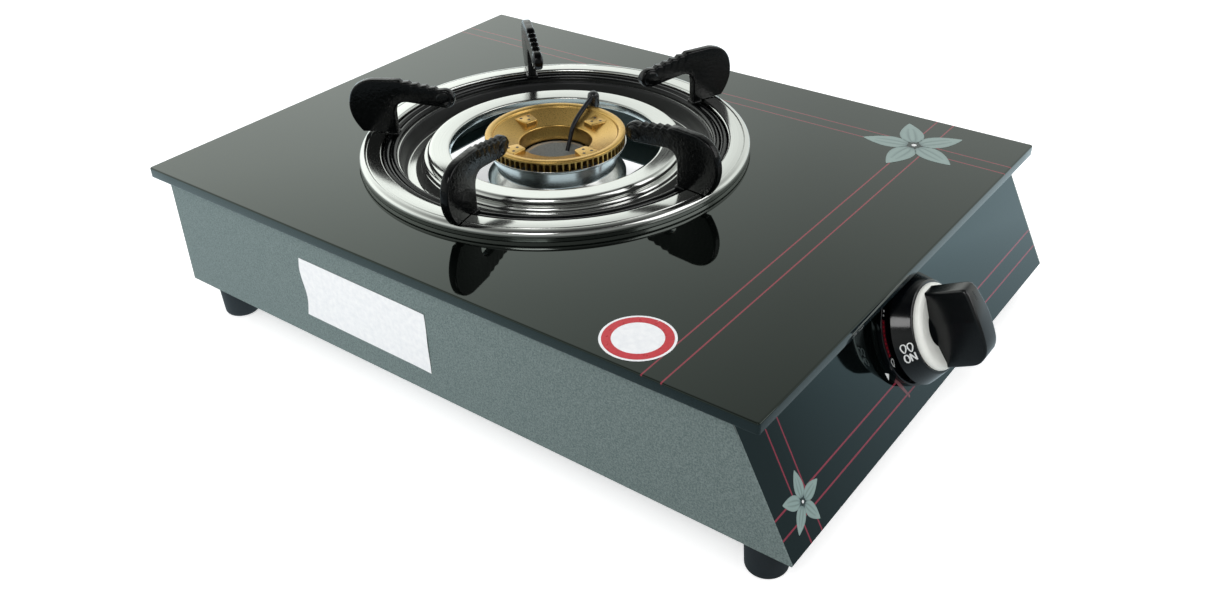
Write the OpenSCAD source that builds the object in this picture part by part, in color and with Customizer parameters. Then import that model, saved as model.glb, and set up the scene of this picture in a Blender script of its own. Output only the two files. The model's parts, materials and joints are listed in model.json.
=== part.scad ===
// Single burner gas stove: glass top, sloping front panel, lift-off drip tray and pan support.
// Millimetres. +Z is up, the front faces -Y, and the feet stand on z = 0.
// The origin is under the middle of the whole stove, knob and hose nipple included.

/* [Glass top] */
// Width of the glass, side to side
glass_w = 300; // [270:1:360]
// Depth of the glass, front to back
glass_d = 395; // [375:1:460]
// Thickness of the glass
glass_t = 6; // [4:0.5:8]
// Radius of the glass corners in plan
glass_corner_r = 1.5; // [1:0.5:10]
// Radius of the burner hole in the glass
glass_hole_r = 101; // [100.5:0.5:106]
// Thickness of the gasket strips under the glass
gasket_t = 1; // [0.5:0.5:3]
// Width of the gasket strips
gasket_w = 8; // [5:0.5:11]

/* [Body] */
// Glass overhang past each side panel
side_overhang = 3; // [1:0.5:8]
// Glass overhang past the top of the front panel
front_overhang = 14.5; // [8:0.5:18]
// Glass overhang past the rear panel
rear_overhang = 13; // [4:0.5:20]
// Height of the side panels
body_h = 63; // [58:1:80]
// How far the foot of the front panel stands out past its top
front_run = 32; // [24:1:40]
// Thickness of the sheet steel
sheet_t = 1; // [0.8:0.1:1.5]
// Width of the folded edges that carry the glass
edge_flange_w = 12; // [11.5:0.5:16]
// Width of the folded bottom edges that carry the feet
foot_flange_w = 25; // [23:1:34]

/* [Feet] */
// Height of the rubber feet
foot_h = 19; // [14:1:30]
// Radius of a foot at its top
foot_top_r = 10.8; // [9.5:0.1:11.5]
// Radius of a foot at the floor
foot_low_r = 10; // [8.5:0.1:11]
// Rounding of a foot's lower edge
foot_round = 2.5; // [1:0.5:3]
// Distance from a side panel to the middle of a foot
foot_side_in = 12; // [11:0.5:16]
// Distance from the front panel's lower edge to the middle of a front foot
foot_front_in = 18; // [15:1:40]
// Distance from the rear panel to the middle of a rear foot
foot_rear_in = 24; // [15:1:40]
// Shank radius of the foot screws
foot_screw_r = 2; // [1.5:0.1:2.5]
// Head radius of the foot screws
foot_head_r = 3.6; // [3:0.1:4]

/* [Drip tray] */
// How far the burner and tray stand behind the middle of the glass
tray_back = 25; // [15:1:32]
// Height of the tray's flat band above the glass
tray_h = 6.2; // [5:0.1:9]
// Sheet thickness of the tray
tray_t = 1; // [0.6:0.1:1.4]
// Radius of the wall round the pan support's seat
seat_r = 98; // [95:0.5:99]
// Width of the tray's flat band, from the seat's wall out to the tray's edge
tray_band_w = 12.5; // [10.5:0.5:20]
// Radius of the rolled bead at the tray's edge
tray_bead_r = 1.4; // [1:0.1:2]
// Height of the pan support's seat above the glass
seat_h = 2; // [1:0.1:3]
// Inner radius of the seat, where the trough begins
trough_r = 88; // [86:0.5:90]
// Depth of the trough below the glass surface
trough_depth = 8; // [4:0.5:12]
// Radius at the inner foot of the trough
trough_in_r = 78.5; // [77:0.5:80]
// Radius of the tray's hole
tray_hole_r = 63; // [61.5:0.5:66]

/* [Trim ring] */
// Outer radius of the trim ring at its foot
trim_r = 73; // [71:0.5:73.5]
// Radius of the hole in the trim ring
trim_hole_r = 60; // [56:0.5:61]
// Height of the trim ring
trim_h = 3.8; // [3:0.1:8]
// Depth of the lip turned down round the trim ring's hole
trim_lip = 5; // [2.2:0.1:7]
// Sheet thickness of the trim ring
trim_t = 0.8; // [0.6:0.1:1]

/* [Pan support] */
// Height of the pan plane above the glass
pan_h = 38; // [34:0.5:50]
// Thickness of the support ring
support_t = 2.6; // [2:0.1:3.4]
// Inner radius of the support ring
support_in_r = 89.5; // [88.5:0.5:91]
// Gap between the support ring and the wall of its seat
support_gap = 0.4; // [0.2:0.1:1]
// Number of prongs
prong_count = 5; // [5:1:5]
// Thickness of a prong
prong_t = 5; // [3:0.5:8]
// Direction of the first prong, from the right side towards the rear
prong_turn = 120; // [110:1:130]
// Radius at the tip of a prong
prong_tip_r = 56; // [50:0.5:60]
// Radius at the outside of a prong
prong_out_r = 118; // [115:0.5:122]
// Gap between a prong's outer foot and the tray's band
prong_gap = 0.4; // [0.2:0.1:1]
// How far a prong's toothed edge falls from the pan plane to its tip
prong_drop = 5; // [2:0.5:8]
// Depth of the grip teeth on a prong
tooth_depth = 1.1; // [0.5:0.1:2]
// Number of grip teeth on a prong
tooth_count = 5; // [3:1:7]
// Radius of the boss at a prong's tip
tip_boss_r = 2.8; // [2:0.1:3.2]
// Height of the tip boss over each side of the prong
tip_boss_h = 0.8; // [0.4:0.1:2]

/* [Burner] */
// Radius of the burner cap
cap_r = 40; // [36:0.5:42]
// Height of the cap's rim above the glass
cap_top_h = 9.2; // [8.8:0.1:12]
// Height of the cup's rim above the glass
cup_top_h = 6; // [4:0.1:6.2]
// Number of flame ports round the cap
port_count = 72; // [36:2:90]
// Width of a flame port
port_w = 1.5; // [1:0.1:1.7]
// Height of a flame port
port_h = 1.4; // [0.8:0.1:1.7]
// Radius of the hole in the middle of the cap
cap_hole_r = 20.5; // [19.5:0.5:22]
// Width of the rim round the dish of the cap
cap_rim_w = 3.4; // [2:0.1:5]
// Depth of the dish below the rim, at the hole
dish_depth = 6; // [3:0.1:7]
// Wall thickness of the cap
cap_wall = 1.8; // [1.2:0.1:2.4]
// Number of raised pads in the dish
pad_count = 4; // [2:1:6]
// Radius of the small ports in the pads
pad_port_r = 0.9; // [0.6:0.1:1.2]
// Depth of the cup's seat below the glass surface
cup_seat_depth = 17; // [14:0.5:20]
// Wall thickness of the cup
cup_wall = 1.5; // [1:0.1:2]
// Depth of the burner base below the glass surface
base_depth = 46; // [44:0.5:48]
// Outer radius of the mixing bowl in the base
bowl_r = 34; // [32:0.5:35]
// Radius of the air passage up the middle of the base
air_r = 17; // [15:0.5:18]
// Wall thickness of the base
base_wall = 3; // [2.2:0.1:3.4]

/* [Mixing tube] */
// Bore radius of the mixing tube
tube_bore_r = 9; // [7:0.5:9.2]
// Wall thickness of the mixing tube
tube_wall = 1.5; // [1:0.1:2]
// Outer radius of the tube's mouth
mouth_r = 14; // [13:0.5:16]
// Length of the mouth
mouth_l = 16; // [12:1:24]
// Length of the socket in the base
socket_l = 10; // [6:1:12]
// Sleeve thickness of the air shutter
shutter_t = 1.2; // [0.8:0.1:2]
// Gap between the air shutter and the mouth
shutter_gap = 0.3; // [0.2:0.05:0.5]
// Radius of the injector
injector_r = 5; // [4:0.1:5.5]
// Length of the injector
injector_l = 24; // [22:1:30]

/* [Bridge] */
// Thickness of the bridge
bridge_t = 1.5; // [1:0.1:2]
// Depth of the bridge, front to back
bridge_d = 44; // [40:1:60]
// Half the width of the bridge's raised part
bridge_half = 60; // [48:1:80]
// Shank radius of the bridge and burner screws
bridge_screw_r = 2; // [1.5:0.1:2.4]

/* [Knob] */
// Sideways place of the knob
knob_x = -6.5; // [-20:0.5:20]
// Distance from the top of the front panel down to the knob's axis
knob_down = 32.8; // [32:0.1:37]
// Radius of the bezel
bezel_r = 27.8; // [24:0.1:30]
// Thickness of the bezel
bezel_t = 3; // [1.5:0.1:4]
// How far the knob pushes in
push_travel = 3.5; // [2:0.5:5]
// Gap left between knob and bezel when pushed
push_gap = 0.7; // [0.3:0.1:1.5]
// Radius of the knob's skirt at its front
skirt_r = 22.7; // [21.4:0.1:24]
// Radius of the knob's skirt at its base
skirt_base_r = 27.6; // [24.1:0.1:28.2]
// Height of the skirt
skirt_h = 8.5; // [7.5:0.1:12]
// Wall thickness of the skirt
skirt_wall = 1.8; // [1.2:0.1:2.6]
// Radius of the pale ring on the skirt
ring_r = 21.3; // [20:0.1:22.6]
// Height of the pale ring
ring_h = 2.9; // [2.2:0.1:5]
// Inner radius of the pale ring
ring_in_r = 9.9; // [9:0.1:12]
// How far the pale ring dishes in from its crest to its hole
ring_dish = 1.2; // [0.4:0.1:1.6]
// Width of the bar grip
grip_w = 13.6; // [11:0.1:15]
// Width of the bar grip at its upper end
grip_tip_w = 9.8; // [8:0.1:11]
// Length of the bar grip
grip_l = 39.4; // [36:0.1:41]
// Height of the bar grip over the pale ring
grip_h = 22.9; // [19:0.1:25]
// Length of the rounding at the grip's lower end
grip_round = 12.5; // [8:0.5:15]
// Length of the rounding at the grip's upper end
grip_tip_round = 3; // [1:0.1:5]
// How far the grip's upper end lies below its crown
grip_fall = 2.4; // [1:0.1:4]

/* [Valve] */
// Radius of the valve stem
stem_r = 3; // [2.5:0.1:3.4]
// Running clearance of the stem in its bore
stem_clear = 0.05; // [0.03:0.01:0.08]
// Radius of the spring chamber
chamber_r = 6.5; // [6.2:0.1:7.5]
// Depth of the spring chamber
chamber_l = 21; // [18:1:24]
// Outer radius of the valve barrel
barrel_r = 13; // [11:0.5:14]
// Length of the valve barrel
barrel_l = 34; // [32:1:38]
// Wire radius of the return spring
spring_wire_r = 0.6; // [0.4:0.1:0.8]
// Number of turns of the return spring
spring_turns = 5; // [3:1:7]
// Shank radius of the valve screws
valve_screw_r = 1.8; // [1.4:0.1:2]

/* [Gas inlet] */
// Outer radius of the gas pipe
pipe_r = 4; // [3:0.1:5]
// Bore radius of the gas pipe
pipe_bore_r = 3; // [2:0.1:2.6]
// Distance of the gas pipe's run to the left of the middle
pipe_left = 95; // [88:1:108]
// Bend radius of the gas pipe
pipe_bend_r = 16; // [12:1:24]
// Outer radius of the hose nipple's tip
nipple_r = 4.75; // [4:0.05:5.5]
// How far the hose nipple stands out behind the rear panel
nipple_out = 28; // [24:1:40]
// Radius of the nipple's barbs
barb_r = 5.6; // [5.6:0.1:6.5]

/* [Ignition] */
// Direction of the electrode from the burner's middle
electrode_turn = 8; // [-4:1:20]
// Distance of the electrode from the burner's middle
electrode_at = 44.4; // [44:0.1:48]
// Radius of the insulator
insulator_r = 3; // [2.4:0.1:3.2]
// Radius of the insulator's head
insulator_head_r = 3.5; // [3.2:0.1:3.6]
// Height of the insulator's head above the glass
insulator_top_h = 16; // [14:0.5:20]
// Radius of the spark wire
spark_wire_r = 1; // [0.6:0.1:1.1]
// Radius of the ignition lead
lead_r = 1.5; // [1.2:0.1:1.8]

/* [Hidden] */
$fn = 96;

// Levels
body_z0 = foot_h;
body_z1 = body_z0 + body_h;
glass_z0 = body_z1 + gasket_t;
top_z = glass_z0 + glass_t;
body_w = glass_w - 2 * side_overhang;
side_in = body_w / 2 - sheet_t;
tilt = atan(front_run / body_h);

// Knob stack, measured out from the front panel's face
skirt_z0 = bezel_t + push_gap + push_travel;
skirt_z1 = skirt_z0 + skirt_h;
ring_z1 = skirt_z1 + ring_h;
grip_z1 = ring_z1 + grip_h;
// Side view of the grip, up the slope and out: lower end, crown, upper end
grip_half = grip_l / 2;
grip_low_z = skirt_z1 + 0.5;
grip_tip = [grip_half - 0.4, grip_z1 - grip_fall];
grip_line = concat([[-grip_half, grip_low_z], [-grip_half, grip_z1 - grip_round]],
    bend([-grip_half, grip_z1 - grip_round], [-grip_half, grip_z1 - 1.3], [grip_round - grip_half, grip_z1 - 0.5], 7),
    bend([grip_round - grip_half, grip_z1 - 0.5], [grip_half / 6, grip_z1 + 0.5],
        grip_tip - [grip_tip_round, -grip_tip_round / 4], 6),
    bend(grip_tip - [grip_tip_round, -grip_tip_round / 4], grip_tip, grip_tip - [0, grip_tip_round], 5),
    [[grip_half, grip_low_z]]);

// Front and rear reach from the middle of the glass, and the shift that centres the whole
front_top_rel = -glass_d / 2 + front_overhang;
front_reach = front_top_rel - sin(tilt) * knob_down
    - max([for (p = grip_line) cos(tilt) * p[1] - sin(tilt) * p[0]]);
rear_rel = glass_d / 2 - rear_overhang;
rear_reach = rear_rel + nipple_out;
glass_y = -(front_reach + rear_reach) / 2;
front_top_y = glass_y + front_top_rel;
front_low_y = front_top_y - front_run;
rear_y = glass_y + rear_rel;
tray_y = glass_y + tray_back;
plate_run = sheet_t / cos(tilt);

// Places of the feet
foot_x = body_w / 2 - foot_side_in;
foot_front_y = front_low_y + foot_front_in;
foot_rear_y = rear_y - foot_rear_in;
foot_places = [[-foot_x, foot_front_y], [foot_x, foot_front_y], [-foot_x, foot_rear_y], [foot_x, foot_rear_y]];
screw_clear = 0.1;
foot_head_h = 2.4;
foot_web = foot_h / 2;
nut_h = 3.2;

// Burner levels and the mixing tube's axis
base_z0 = top_z - base_depth;
seat_z = top_z - cup_seat_depth;
flange_t = 3;
tube_r = tube_bore_r + tube_wall;
boss_wall = 2;
tube_z = base_z0 + tube_r + boss_wall + 0.5;
boss_end = bowl_r + socket_l + 2;
tube_y1 = tray_y - boss_end + socket_l;

// Knob axis: the point on the panel and the valve behind it
axis_y = front_top_y - sin(tilt) * knob_down;
axis_z = body_z1 - cos(tilt) * knob_down;
barrel_end_y = axis_y + cos(tilt) * barrel_l;
block_y0 = barrel_end_y - 9;
block_y1 = barrel_end_y + 12;
block_half = barrel_r + 0.5;
block_z0 = axis_z - sin(tilt) * barrel_l - 8;
block_z1 = max(tube_z, axis_z - sin(tilt) * barrel_l + 8) + injector_r + 3;
pipe_z = block_z0 + pipe_r + 3;
washer_z1 = -sheet_t - 3;
washer_t = 2;
collar_t = 1.2;
chamber_z0 = -sheet_t - chamber_l;

// Mixing tube mouth, air shutter and injector along Y
injector_y1 = block_y1 + injector_l;
mouth_y0 = injector_y1 - 6;
mouth_plate_t = 1.4;
shutter_y0 = mouth_y0 - shutter_gap - shutter_t;
jet_clear = 1.2;

// Electrode place
electrode_x = electrode_at * cos(electrode_turn);
electrode_y = tray_y + electrode_at * sin(electrode_turn);
bracket_t = 1.2;
bracket_z1 = seat_z - flange_t;
insulator_low_z = bracket_z1 - 8;

// Colours
c_black = [0.07, 0.07, 0.08];
c_glass = [0.13, 0.15, 0.14];
c_panel = [0.45, 0.52, 0.53];
c_steel = [0.78, 0.79, 0.8];
c_zinc = [0.62, 0.63, 0.62];
c_brass = [0.78, 0.6, 0.3];
c_rubber = [0.14, 0.17, 0.2];
c_cream = [0.88, 0.88, 0.82];
c_ceramic = [0.2, 0.19, 0.19];

// Unit normal to the left of travel from a to b
function side_n(a, b) = let (d = b - a) [d[1], -d[0]] / norm(d);
// A path moved sideways by t, with mitred corners
function moved(p, t) = [for (i = [0 : len(p) - 1])
    let (n0 = i > 0 ? side_n(p[i - 1], p[i]) : side_n(p[0], p[1]),
         n1 = i < len(p) - 1 ? side_n(p[i], p[i + 1]) : n0)
    p[i] + t * (n0 + n1) / (1 + n0 * n1)];
function reversed(p) = [for (i = [len(p) - 1 : -1 : 0]) p[i]];
// Closed outline of a sheet of thickness t lying under a path
function sheet(p, t) = concat(p, reversed(moved(p, -t)));
// Points on an arc
function arc(c, r, a0, a1, n) = [for (i = [0 : n]) c + r * [cos(a0 + (a1 - a0) * i / n), sin(a0 + (a1 - a0) * i / n)]];
// Points on a quadratic curve, its first point left out
function bend(a, b, c, n) = [for (i = [1 : n]) let (t = i / n) (1 - t) * (1 - t) * a + 2 * t * (1 - t) * b + t * t * c];

// Revolved about the burner's axis, heights measured from the glass surface
module burner_turned(points) {
    translate([0, tray_y, top_z]) rotate_extrude() polygon(points);
}
// The front panel's frame: +Z out of the panel along the knob's axis, +Y up the slope
module panel_frame() {
    translate([knob_x, axis_y, axis_z]) rotate([90 - tilt, 0, 0]) children();
}
// An outline in Y and Z drawn out along X from x0
module drawn_x(x0, l, points) {
    translate([x0, 0, 0]) rotate([90, 0, 90]) linear_extrude(l) polygon(points);
}
// A cylinder along +Y
module rod_y(x, y, z, r, l) {
    translate([x, y, z]) rotate([-90, 0, 0]) cylinder(h = l, r = r);
}
// A cylinder from one point to another
module rod(a, b, r) {
    d = b - a;
    translate(a) rotate([0, acos(d[2] / norm(d)), atan2(d[1], d[0])]) cylinder(h = norm(d), r = r);
}
// A round-cornered rectangle
module round_rect(w, d, r) {
    square([w - 2 * r, d], center = true);
    square([w, d - 2 * r], center = true);
    for (sx = [-1, 1], sy = [-1, 1]) translate([sx * (w / 2 - r), sy * (d / 2 - r)]) circle(r);
}

// Glass and gasket
module glass_top() {
    color(c_glass) translate([0, 0, glass_z0]) difference() {
        translate([0, glass_y, 0]) linear_extrude(glass_t) round_rect(glass_w, glass_d, glass_corner_r);
        translate([0, tray_y, -1]) cylinder(h = glass_t + 2, r = glass_hole_r);
    }
}
module glass_gasket() {
    in = (edge_flange_w - gasket_w) / 2;
    side_y0 = front_top_y + edge_flange_w + 2;
    side_y1 = rear_y - edge_flange_w - 2;
    color(c_black) {
        for (s = [0, 1]) mirror([s, 0, 0]) translate([side_in - in - gasket_w, side_y0, body_z1])
            cube([gasket_w, side_y1 - side_y0, gasket_t]);
        for (y = [front_top_y + in, rear_y - in - gasket_w]) translate([-side_in + in, y, body_z1])
            cube([2 * (side_in - in), gasket_w, gasket_t]);
    }
}

// Sheet steel body
module left_side_panel() {
    top_y0 = front_top_y + edge_flange_w + 1;
    top_y1 = rear_y - edge_flange_w - 1;
    low_y0 = front_low_y + plate_run + 2;
    low_y1 = rear_y - sheet_t - 1;
    color(c_panel) difference() {
        union() {
            drawn_x(-body_w / 2, sheet_t, [[front_low_y, body_z0], [rear_y, body_z0],
                [rear_y, body_z1], [front_top_y, body_z1]]);
            translate([-side_in - sheet_t, top_y0, body_z1 - sheet_t])
                cube([edge_flange_w + sheet_t, top_y1 - top_y0, sheet_t]);
            translate([-side_in - sheet_t, low_y0, body_z0])
                cube([foot_flange_w + sheet_t, low_y1 - low_y0, sheet_t]);
        }
        for (y = [foot_front_y, foot_rear_y]) translate([-foot_x, y, body_z0 - 1])
            cylinder(h = sheet_t + 2, r = foot_screw_r + screw_clear);
        for (s = [-1, 1]) translate([-bridge_hole_x, tray_y + s * bridge_d / 4, body_z0 - 1])
            cylinder(h = sheet_t + 2, r = bridge_screw_r + screw_clear);
    }
}
module right_side_panel() {
    mirror([1, 0, 0]) left_side_panel();
}
module rear_panel() {
    low_half = side_in - foot_flange_w - 1;
    color(c_panel) difference() {
        union() {
            translate([-side_in, rear_y - sheet_t, body_z0]) cube([2 * side_in, sheet_t, body_h]);
            translate([-side_in, rear_y - edge_flange_w, body_z1 - sheet_t])
                cube([2 * side_in, edge_flange_w, sheet_t]);
            translate([-low_half, rear_y - edge_flange_w, body_z0]) cube([2 * low_half, edge_flange_w, sheet_t]);
            for (s = [0, 1]) mirror([s, 0, 0])
                translate([side_in - sheet_t, rear_y - edge_flange_w, body_z0 + 2 * sheet_t])
                    cube([sheet_t, edge_flange_w, body_h - 2 * sheet_t]);
        }
        rod_y(-pipe_left, rear_y - 2 * sheet_t, pipe_z, nipple_shank_r + screw_clear, 3 * sheet_t);
    }
}
module front_panel() {
    low_half = side_in - foot_flange_w - 1;
    low_z = body_z0 + 2 * sheet_t;
    low_lean = 2 * sheet_t * tan(tilt);
    color(c_black) difference() {
        union() {
            drawn_x(-side_in, 2 * side_in, [[front_low_y, body_z0], [front_low_y + plate_run, body_z0],
                [front_top_y + plate_run, body_z1], [front_top_y, body_z1]]);
            translate([-side_in, front_top_y + plate_run / 2, body_z1 - sheet_t])
                cube([2 * side_in, edge_flange_w - plate_run / 2, sheet_t]);
            translate([-low_half, front_low_y + plate_run / 2, body_z0])
                cube([2 * low_half, edge_flange_w - plate_run / 2, sheet_t]);
            for (x = [-side_in, side_in - sheet_t]) drawn_x(x, sheet_t, [
                [front_low_y + low_lean + plate_run / 2, low_z], [front_low_y + low_lean + edge_flange_w, low_z],
                [front_top_y + edge_flange_w, body_z1], [front_top_y + plate_run / 2, body_z1]]);
        }
        panel_frame() translate([0, 0, -sheet_t - 1]) cylinder(h = sheet_t + 2, r = panel_hole_r);
        panel_frame() for (s = [-1, 1]) translate([s * valve_screw_at, 0, -sheet_t - 1])
            cylinder(h = sheet_t + 2, r = valve_screw_r + screw_clear);
    }
}

// Feet
module foot(i) {
    lean = (foot_top_r - foot_low_r) / foot_h;
    color(c_rubber) translate([foot_places[i][0], foot_places[i][1], 0]) difference() {
        rotate_extrude() polygon(concat([[0, 0]],
            arc([foot_low_r - foot_round, foot_round], foot_round, -90, 0, 6),
            [[foot_top_r, foot_h], [0, foot_h]]));
        translate([0, 0, -1]) cylinder(h = foot_web + 1, r = foot_head_r + 0.6);
        translate([0, 0, -1]) cylinder(h = foot_h + 2, r = foot_screw_r + screw_clear);
    }
}
module foot_front_left() { foot(0); }
module foot_front_right() { foot(1); }
module foot_rear_left() { foot(2); }
module foot_rear_right() { foot(3); }
module foot_screws() {
    color(c_zinc) for (p = foot_places) translate([p[0], p[1], foot_web - foot_head_h]) {
        cylinder(h = foot_head_h, r = foot_head_r);
        cylinder(h = foot_head_h + foot_h - foot_web + sheet_t + nut_h + 1, r = foot_screw_r);
    }
}
module foot_nuts() {
    color(c_zinc) for (p = foot_places) translate([p[0], p[1], body_z0 + sheet_t]) difference() {
        cylinder(h = nut_h, r = 2 * foot_screw_r, $fn = 6);
        translate([0, 0, -1]) cylinder(h = nut_h + 2, r = foot_screw_r + screw_clear / 2);
    }
}

// Bridge that carries the burner
bridge_hole_x = side_in - foot_flange_w / 2;
bridge_end_x = bridge_hole_x + 2.5 * bridge_screw_r;
bridge_low_z = body_z0 + sheet_t;
burner_screw_at = (bowl_r + air_r) / 2;
module burner_bridge() {
    half = bridge_half;
    t = bridge_t;
    color(c_zinc) difference() {
        translate([0, tray_y + bridge_d / 2, 0]) rotate([90, 0, 0]) linear_extrude(bridge_d) polygon([
            [-bridge_end_x, bridge_low_z], [-half, bridge_low_z], [-half, base_z0 - t], [half, base_z0 - t],
            [half, bridge_low_z], [bridge_end_x, bridge_low_z], [bridge_end_x, bridge_low_z + t],
            [half + t, bridge_low_z + t], [half + t, base_z0], [-half - t, base_z0],
            [-half - t, bridge_low_z + t], [-bridge_end_x, bridge_low_z + t]]);
        translate([0, tray_y, base_z0 - t - 1]) cylinder(h = t + 2, r = air_r);
        for (s = [-1, 1]) translate([s * burner_screw_at, tray_y, base_z0 - t - 1])
            cylinder(h = t + 2, r = bridge_screw_r + screw_clear);
        for (sx = [-1, 1], sy = [-1, 1])
            translate([sx * bridge_hole_x, tray_y + sy * bridge_d / 4, bridge_low_z - 1])
                cylinder(h = t + 2, r = bridge_screw_r + screw_clear);
    }
}
module bridge_screws() {
    color(c_zinc) for (sx = [-1, 1], sy = [-1, 1])
        translate([sx * bridge_hole_x, tray_y + sy * bridge_d / 4, 0]) {
            translate([0, 0, body_z0 - 2]) cylinder(h = 2 + sheet_t + bridge_t + 2, r = bridge_screw_r);
            translate([0, 0, bridge_low_z + bridge_t]) cylinder(h = 2, r = 1.8 * bridge_screw_r);
        }
}

// Burner
module burner_base() {
    low = -base_depth;
    seat = -cup_seat_depth;
    color(c_zinc) difference() {
        union() {
            burner_turned([[air_r, low], [bowl_r, low], [bowl_r, seat - flange_t], [cap_r, seat - flange_t],
                [cap_r, seat], [air_r, seat]]);
            burner_turned([[air_r, seat - 1], [stack_r, seat - 1], [stack_r, stack_top], [air_r, stack_top]]);
            rod_y(knob_x, tray_y - boss_end, tube_z, tube_r + boss_wall, boss_end - stack_r - 4);
        }
        burner_turned([[stack_r, low + base_wall], [bowl_r - base_wall, low + base_wall],
            [bowl_r - base_wall, seat + 1], [stack_r, seat + 1]]);
        rod_y(knob_x, tray_y - boss_end - 1, tube_z, tube_bore_r, boss_end - stack_r - 3);
        rod_y(knob_x, tray_y - boss_end - 1, tube_z, tube_r + stem_clear, socket_l + 1);
        for (s = [-1, 1]) translate([s * burner_screw_at, tray_y, base_z0 - 1])
            cylinder(h = base_wall + 2, r = bridge_screw_r + screw_clear / 2);
    }
}
module burner_screws() {
    color(c_zinc) for (s = [-1, 1]) translate([s * burner_screw_at, tray_y, base_z0 - bridge_t - 2]) {
        cylinder(h = 2, r = 1.8 * bridge_screw_r);
        cylinder(h = 2 + bridge_t + base_wall + 1.5, r = bridge_screw_r);
    }
}
// How far the cup draws in at its waist, and the height of its flared foot
cup_waist_in = 3.6;
cup_flare_h = 8.5;
module burner_cup() {
    rim = cap_r + 0.2;
    waist = cap_r - cup_waist_in;
    path = [[cap_r, -cup_seat_depth], [cap_r, -cup_seat_depth + 1], [waist + 1.6, -cup_seat_depth + cup_flare_h / 2],
        [waist + 0.6, -cup_seat_depth + cup_flare_h], [waist + 0.5, -2.8], [waist, -2.2],
        [rim - 1.5, cup_top_h - 2.6], [rim, cup_top_h - 1.4], [rim, cup_top_h]];
    color(c_steel) burner_turned(sheet(path, cup_wall));
}
// Stack: the air passage's wall, up to just under the cap's inner sleeve
stack_r = air_r + 2.2;
stack_top = -6.3;
stack_gap = 0.3;
dish_h = cap_top_h - 0.8;
hole_h = cap_top_h - dish_depth;
pad_h = hole_h + 0.75 * (dish_h - hole_h);
module burner_cap() {
    in = cap_r - cap_rim_w;
    port_z = cup_top_h;
    color(c_brass) difference() {
        union() {
            burner_turned([[cap_hole_r, stack_top + stack_gap], [cap_hole_r + cap_wall, stack_top + stack_gap],
                [cap_hole_r + cap_wall, hole_h - cap_wall], [in - cap_wall, cup_top_h],
                [cap_r, cup_top_h], [cap_r, cap_top_h - 0.6], [cap_r - 0.6, cap_top_h],
                [in, cap_top_h], [in - 0.5, dish_h], [cap_hole_r + 0.5, hole_h], [cap_hole_r, hole_h - 0.5]]);
            for (i = [0 : pad_count - 1]) translate([0, tray_y, top_z]) rotate([0, 0, pad_turn + 360 * i / pad_count])
                translate([0, 0, hole_h - cap_wall / 2]) linear_extrude(pad_h - hole_h + cap_wall / 2) polygon([
                    [cap_hole_r + 2.5, -pad_half + 2], [in - 3, -pad_half], [in - 3, pad_half],
                    [cap_hole_r + 2.5, pad_half - 2]]);
        }
        for (i = [0 : port_count - 1]) translate([0, tray_y, top_z + port_z]) rotate([0, 0, 360 * i / port_count])
            translate([in - cap_wall - 2, -port_w / 2, -0.5]) cube([cap_rim_w + cap_wall + 4, port_w, port_h + 0.5]);
        for (i = [0 : pad_count - 1]) translate([0, tray_y, top_z]) rotate([0, 0, pad_turn + 360 * i / pad_count])
            for (p = [[pad_mid + 2.4, -2.6], [pad_mid + 2.4, 2.6], [pad_mid - 1.8, 0]])
                translate([p[0], p[1], hole_h - 2 * cap_wall]) cylinder(h = dish_depth + 4, r = pad_port_r, $fn = 24);
    }
}
pad_turn = -15;
pad_half = 6;
pad_mid = (cap_hole_r + cap_r) / 2 - 2.2;

// Mixing tube, air shutter and injector
module mixing_tube() {
    r0 = tube_bore_r;
    color(c_zinc) difference() {
        translate([knob_x, mouth_y0, tube_z]) rotate([-90, 0, 0]) rotate_extrude() polygon([
            [injector_r + jet_clear, 0], [mouth_r, 0], [mouth_r, mouth_l], [tube_r, mouth_l + 8],
            [tube_r, tube_y1 - mouth_y0], [r0, tube_y1 - mouth_y0], [r0, mouth_l + 8],
            [mouth_r - tube_wall, mouth_l], [mouth_r - tube_wall, mouth_plate_t],
            [injector_r + jet_clear, mouth_plate_t]]);
        air_windows(mouth_y0 - 1, mouth_plate_t + 2);
    }
}
// Two windows for the air, above and below the injector
module air_windows(y, l) {
    inner = injector_r + jet_clear + 1;
    outer = mouth_r - tube_wall - 0.6;
    translate([knob_x, y, tube_z]) rotate([-90, 0, 0]) for (s = [0, 180]) rotate([0, 0, s + 90])
        linear_extrude(l) polygon(concat(arc([0, 0], inner, -35, 35, 8), arc([0, 0], outer, 35, -35, 8)));
}
module air_shutter() {
    r0 = mouth_r + shutter_gap;
    color(c_zinc) difference() {
        translate([knob_x, shutter_y0, tube_z]) rotate([-90, 0, 0]) rotate_extrude() polygon([
            [injector_r + jet_clear, 0], [r0 + shutter_t, 0], [r0 + shutter_t, mouth_l - 3],
            [r0, mouth_l - 3], [r0, shutter_t], [injector_r + jet_clear, shutter_t]]);
        air_windows(shutter_y0 - 1, shutter_t + 2);
    }
}
module gas_injector() {
    color(c_brass) difference() {
        union() {
            rod_y(knob_x, block_y1, tube_z, injector_r, injector_l - 5);
            translate([knob_x, block_y1 + injector_l - 5, tube_z]) rotate([-90, 0, 0])
                cylinder(h = 5, r1 = injector_r, r2 = injector_r - 2.5);
            translate([knob_x, block_y1, tube_z]) rotate([-90, 0, 0]) cylinder(h = 5, r = injector_r + 1.5, $fn = 6);
        }
        rod_y(knob_x, block_y1 - 1, tube_z, injector_r - 3, injector_l - 3);
        rod_y(knob_x, block_y1 - 1, tube_z, 0.6, injector_l + 2);
    }
}

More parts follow.
